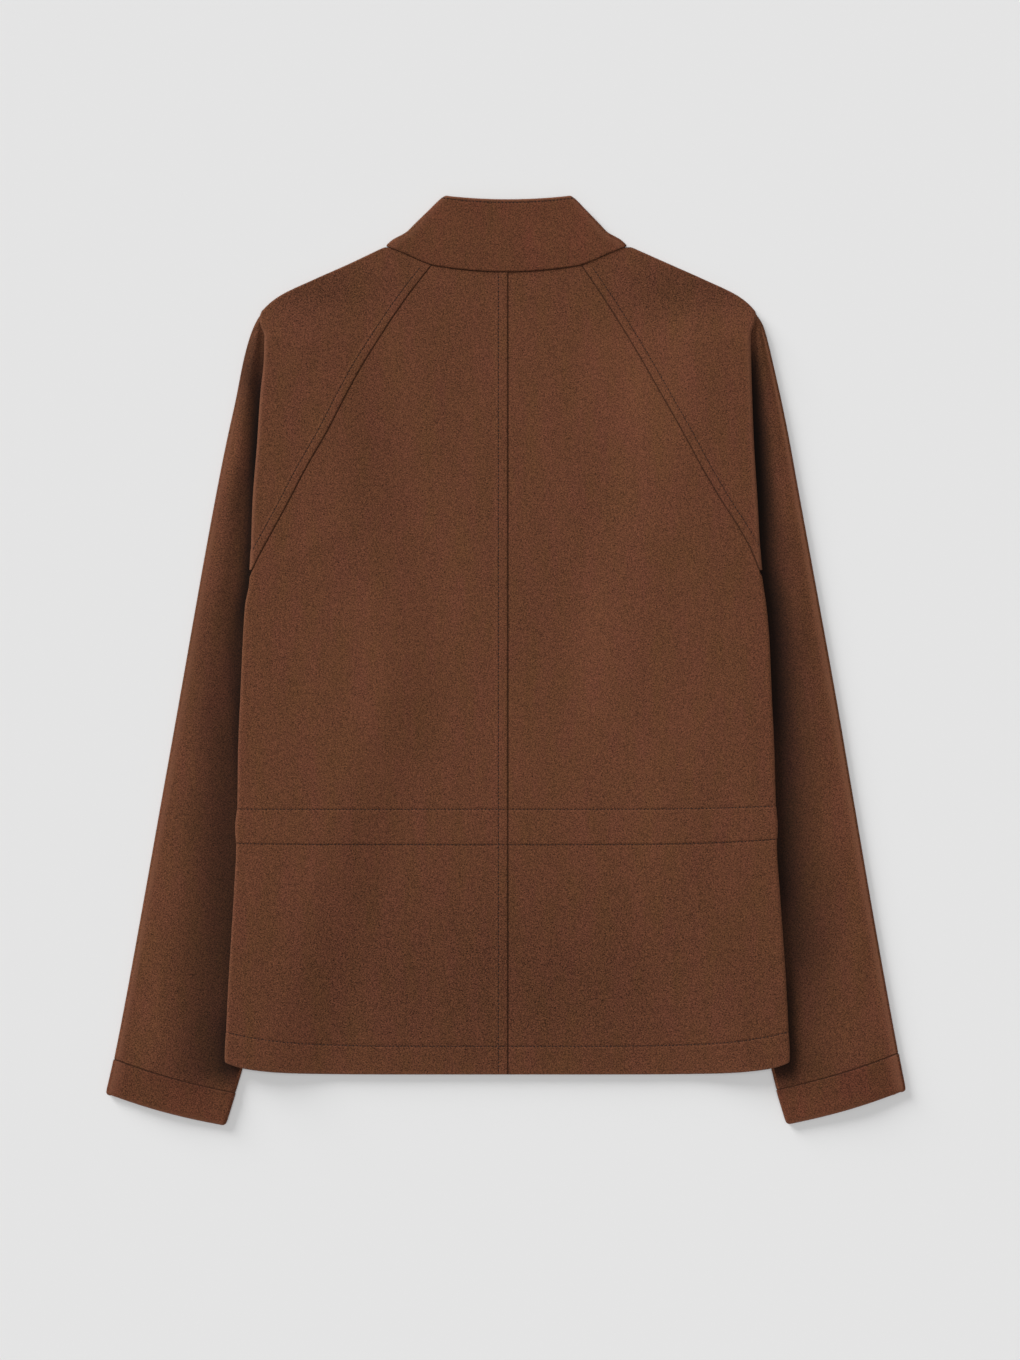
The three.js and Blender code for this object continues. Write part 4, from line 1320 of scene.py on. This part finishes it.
@dataclass(frozen=True)
class ThreadFinish:
    """Dull brown sewing thread, twisted, sunk in the nap."""

    name: str = "thread"
    dark: Colour = (16, 9, 7)
    pale: Colour = (27, 16, 12)

    def material(self) -> Material:
        """The finish as a material: two browns by a fine noise, with a small bump."""
        material, n = new_material(self.name)
        twist = n.noise(n.place(), 1500.0, 2.0, 0.6)
        n.surface(twist, 0.4, 0.0002, {
            "Base Color": n.blend(twist, linear(self.dark), linear(self.pale)),
            "Roughness": 0.75, "Specular IOR Level": 0.3})
        return material


@dataclass(frozen=True)
class Pattern:
    """The cut of a piece, in metres: the rectangle it is cut from and its own area."""

    width: float
    length: float
    area: float


BACK_CUT = Pattern(0.235, 0.665, 0.1305)
FRONT_CUT = Pattern(0.235, 0.650, 0.124)
SLEEVE_CUT = Pattern(0.380, 0.740, 0.168)
CUFF_CUT = Pattern(0.212, 0.031, 0.0058)
COLLAR_CUT = Pattern(0.420, 0.062, 0.0178)


def placed(name: str, data: bpy.types.ID) -> bpy.types.Object:
    """A new object of the data, linked to the scene."""
    made = bpy.data.objects.new(name, data)
    bpy.context.scene.collection.objects.link(made)
    return made


@dataclass
class Workshop:
    """Turns cloths into the scene's pieces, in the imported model's frame."""

    shift: Array
    materials: dict[str, Material]

    def mesh(self, name: str, cloth: Cloth, material: Material) -> bpy.types.Object:
        """A piece made of a cloth's points, moved by the frame's shift and scaled to metres."""
        quads = np.ascontiguousarray(cloth.quads, dtype=np.int32)
        data = bpy.data.meshes.new(name)
        data.vertices.add(len(cloth.points))
        data.loops.add(quads.size)
        data.polygons.add(len(quads))
        place = (cloth.points + self.shift) * MM
        data.vertices.foreach_set("co", place.astype(np.float32).ravel())
        data.loops.foreach_set("vertex_index", quads.ravel())
        data.polygons.foreach_set("loop_start", np.arange(0, quads.size, 4, dtype=np.int32))
        data.update(calc_edges=True)
        data.polygons.foreach_set("use_smooth", np.ones(len(quads), bool))
        # Every piece also carries the patches of painted light and shade.
        marks = {**cloth.attributes, "painted_light_patches": painted_light_at(cloth.points[:, 0], cloth.points[:, 1])}
        for title, values in marks.items():
            layer = data.attributes.new(title, "FLOAT", "POINT")
            layer.data.foreach_set("value", np.clip(values, 0, 1).astype(np.float32))
        data.validate(verbose=False)
        data.materials.append(material)
        piece = placed(name, data)
        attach(piece, "root")
        LOG.info("%s: %d points, %d quads", name, len(cloth.points), len(quads))
        return piece

    def sewn(self, node: str, cloth: Cloth, stitches: Cloth | None, pattern: Pattern,
             rests_on: Sequence[str] = ()) -> None:
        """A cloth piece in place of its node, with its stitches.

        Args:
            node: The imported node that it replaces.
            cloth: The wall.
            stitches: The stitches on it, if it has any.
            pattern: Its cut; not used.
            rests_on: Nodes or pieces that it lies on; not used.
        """
        slot = "suede_band" if node.startswith(("cuff", "collar")) else "suede"
        piece = self.mesh(node + "_suede", cloth, self.materials[slot])
        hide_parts(node)
        extra = []
        if stitches is not None:
            extra = [self.mesh(node + "_stitches", stitches, self.materials["thread"])]


@dataclass(frozen=True)
class Lamp:
    """A broad distant light: its energy, where it comes from and how soft it is, in degrees."""

    name: str
    energy: float
    turn: float
    height: float
    softness: float

    def hang(self) -> None:
        """Adds the light to the scene, pointing at the jacket."""
        data = bpy.data.lights.new(self.name, "SUN")
        data.energy = self.energy
        data.angle = float(np.radians(self.softness))
        a, e = np.radians(self.turn), np.radians(self.height)
        towards = Vector((np.cos(a) * np.cos(e), np.sin(a) * np.cos(e), np.sin(e)))
        placed(self.name, data).rotation_euler = towards.to_track_quat("Z", "Y").to_euler()


@dataclass
class Studio:
    """The floor, the light and the camera, as in the photograph."""

    lens: float = 85.0
    frame_height: float = 1.1152
    centre: tuple[float, float] = (0.00287, -0.01558)
    sheet_height: float = 0.008
    sensor: float = 36.0
    floor_tone: Colour = (232, 232, 232)
    floor_reach: float = 60.0
    floor_z: float = -0.0002
    fill: float = 0.17
    lamps: tuple[Lamp, ...] = (
        Lamp("key", 3.3, 134.0, 17.5, 28.0), Lamp("top", 1.5, 90.0, 90.0, 40.0))

    def camera(self, shift: Array) -> None:
        """A camera straight above, whose frame is the photograph's at the cloth's height."""
        data = bpy.data.cameras.new("camera")
        data.lens, data.sensor_width, data.sensor_fit = self.lens, self.sensor, "AUTO"
        data.clip_start, data.clip_end = 0.01, 50.0
        camera = placed("camera", data)
        far = self.frame_height * self.lens / self.sensor + self.sheet_height
        camera.location = (self.centre[0] + shift[0] * MM, self.centre[1] + shift[1] * MM, far)
        bpy.context.scene.camera = camera

    def lights(self) -> None:
        """An even pale surround, a broad light from the upper left and one straight above."""
        world = bpy.data.worlds.new("surround")
        world.use_nodes = True
        background = world.node_tree.nodes["Background"]
        background.inputs["Color"].default_value = (1, 1, 1, 1)
        background.inputs["Strength"].default_value = self.fill
        bpy.context.scene.world = world
        bpy.context.scene.view_settings.view_transform = "Standard"
        for lamp in self.lamps:
            lamp.hang()

    def floor(self) -> None:
        """A plain pale floor under the jacket."""
        material = bpy.data.materials.new("floor")
        material.use_nodes = True
        shader = material.node_tree.nodes["Principled BSDF"]
        shader.inputs["Base Color"].default_value = linear(self.floor_tone)
        shader.inputs["Roughness"].default_value = 1.0
        shader.inputs["Specular IOR Level"].default_value = 0.0
        data = bpy.data.meshes.new("floor")
        r, z = self.floor_reach, self.floor_z
        data.from_pydata([(-r, -r, z), (r, -r, z), (r, r, z), (-r, r, z)], [], [(0, 1, 2, 3)])
        data.materials.append(material)
        placed("floor", data)


def frame_shift() -> Array:
    """Millimetres from the tables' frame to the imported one.

    The left back's inner edge lies half a seam gap left of the centre-back seam, and its lowest
    place is the middle of the hem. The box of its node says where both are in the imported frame.
    """
    low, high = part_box("back_left")
    inner = CUT.centre_back_x - CUT.seam_gap / 2
    hem_middle = HEM_EDGE - SIDE_ROWS[-1][1]
    return np.array([high.x / MM - inner, low.y / MM - hem_middle, 0.0])


def main() -> None:
    """Builds the pieces in order, then the studio."""
    logging.basicConfig(level=logging.INFO, format="%(name)s: %(message)s")
    shift = frame_shift()
    nap, wear = nap_group(), wear_group()
    suede = SuedeFinish()
    band = SuedeFinish(name="suede_band", red_brown=(98, 55, 39), earth_brown=(92, 57, 36))
    materials = {"suede": suede.material(nap, wear), "suede_band": band.material(nap, wear),
                 "thread": ThreadFinish().material()}
    shop = Workshop(shift, materials)
    for side in Side:
        form = HalfForm(side)
        under = ["sleeve_" + side.tag]
        shop.sewn("back_" + side.tag, *BodyPanel(form, True).build(), BACK_CUT,
                  ["front_" + side.tag, *under])
        shop.sewn("front_" + side.tag, *BodyPanel(form, False).build(), FRONT_CUT, under)
        shop.sewn("sleeve_" + side.tag, *Sleeve(form).build(), SLEEVE_CUT)
        shop.sewn("cuff_" + side.tag, CuffBand(form).build(), None, CUFF_CUT)
    shop.sewn("collar", *StandCollar(CollarForm()).build(), COLLAR_CUT)
    studio = Studio()
    studio.camera(shift)
    studio.lights()
    studio.floor()


if __name__ == "__main__":
    main()
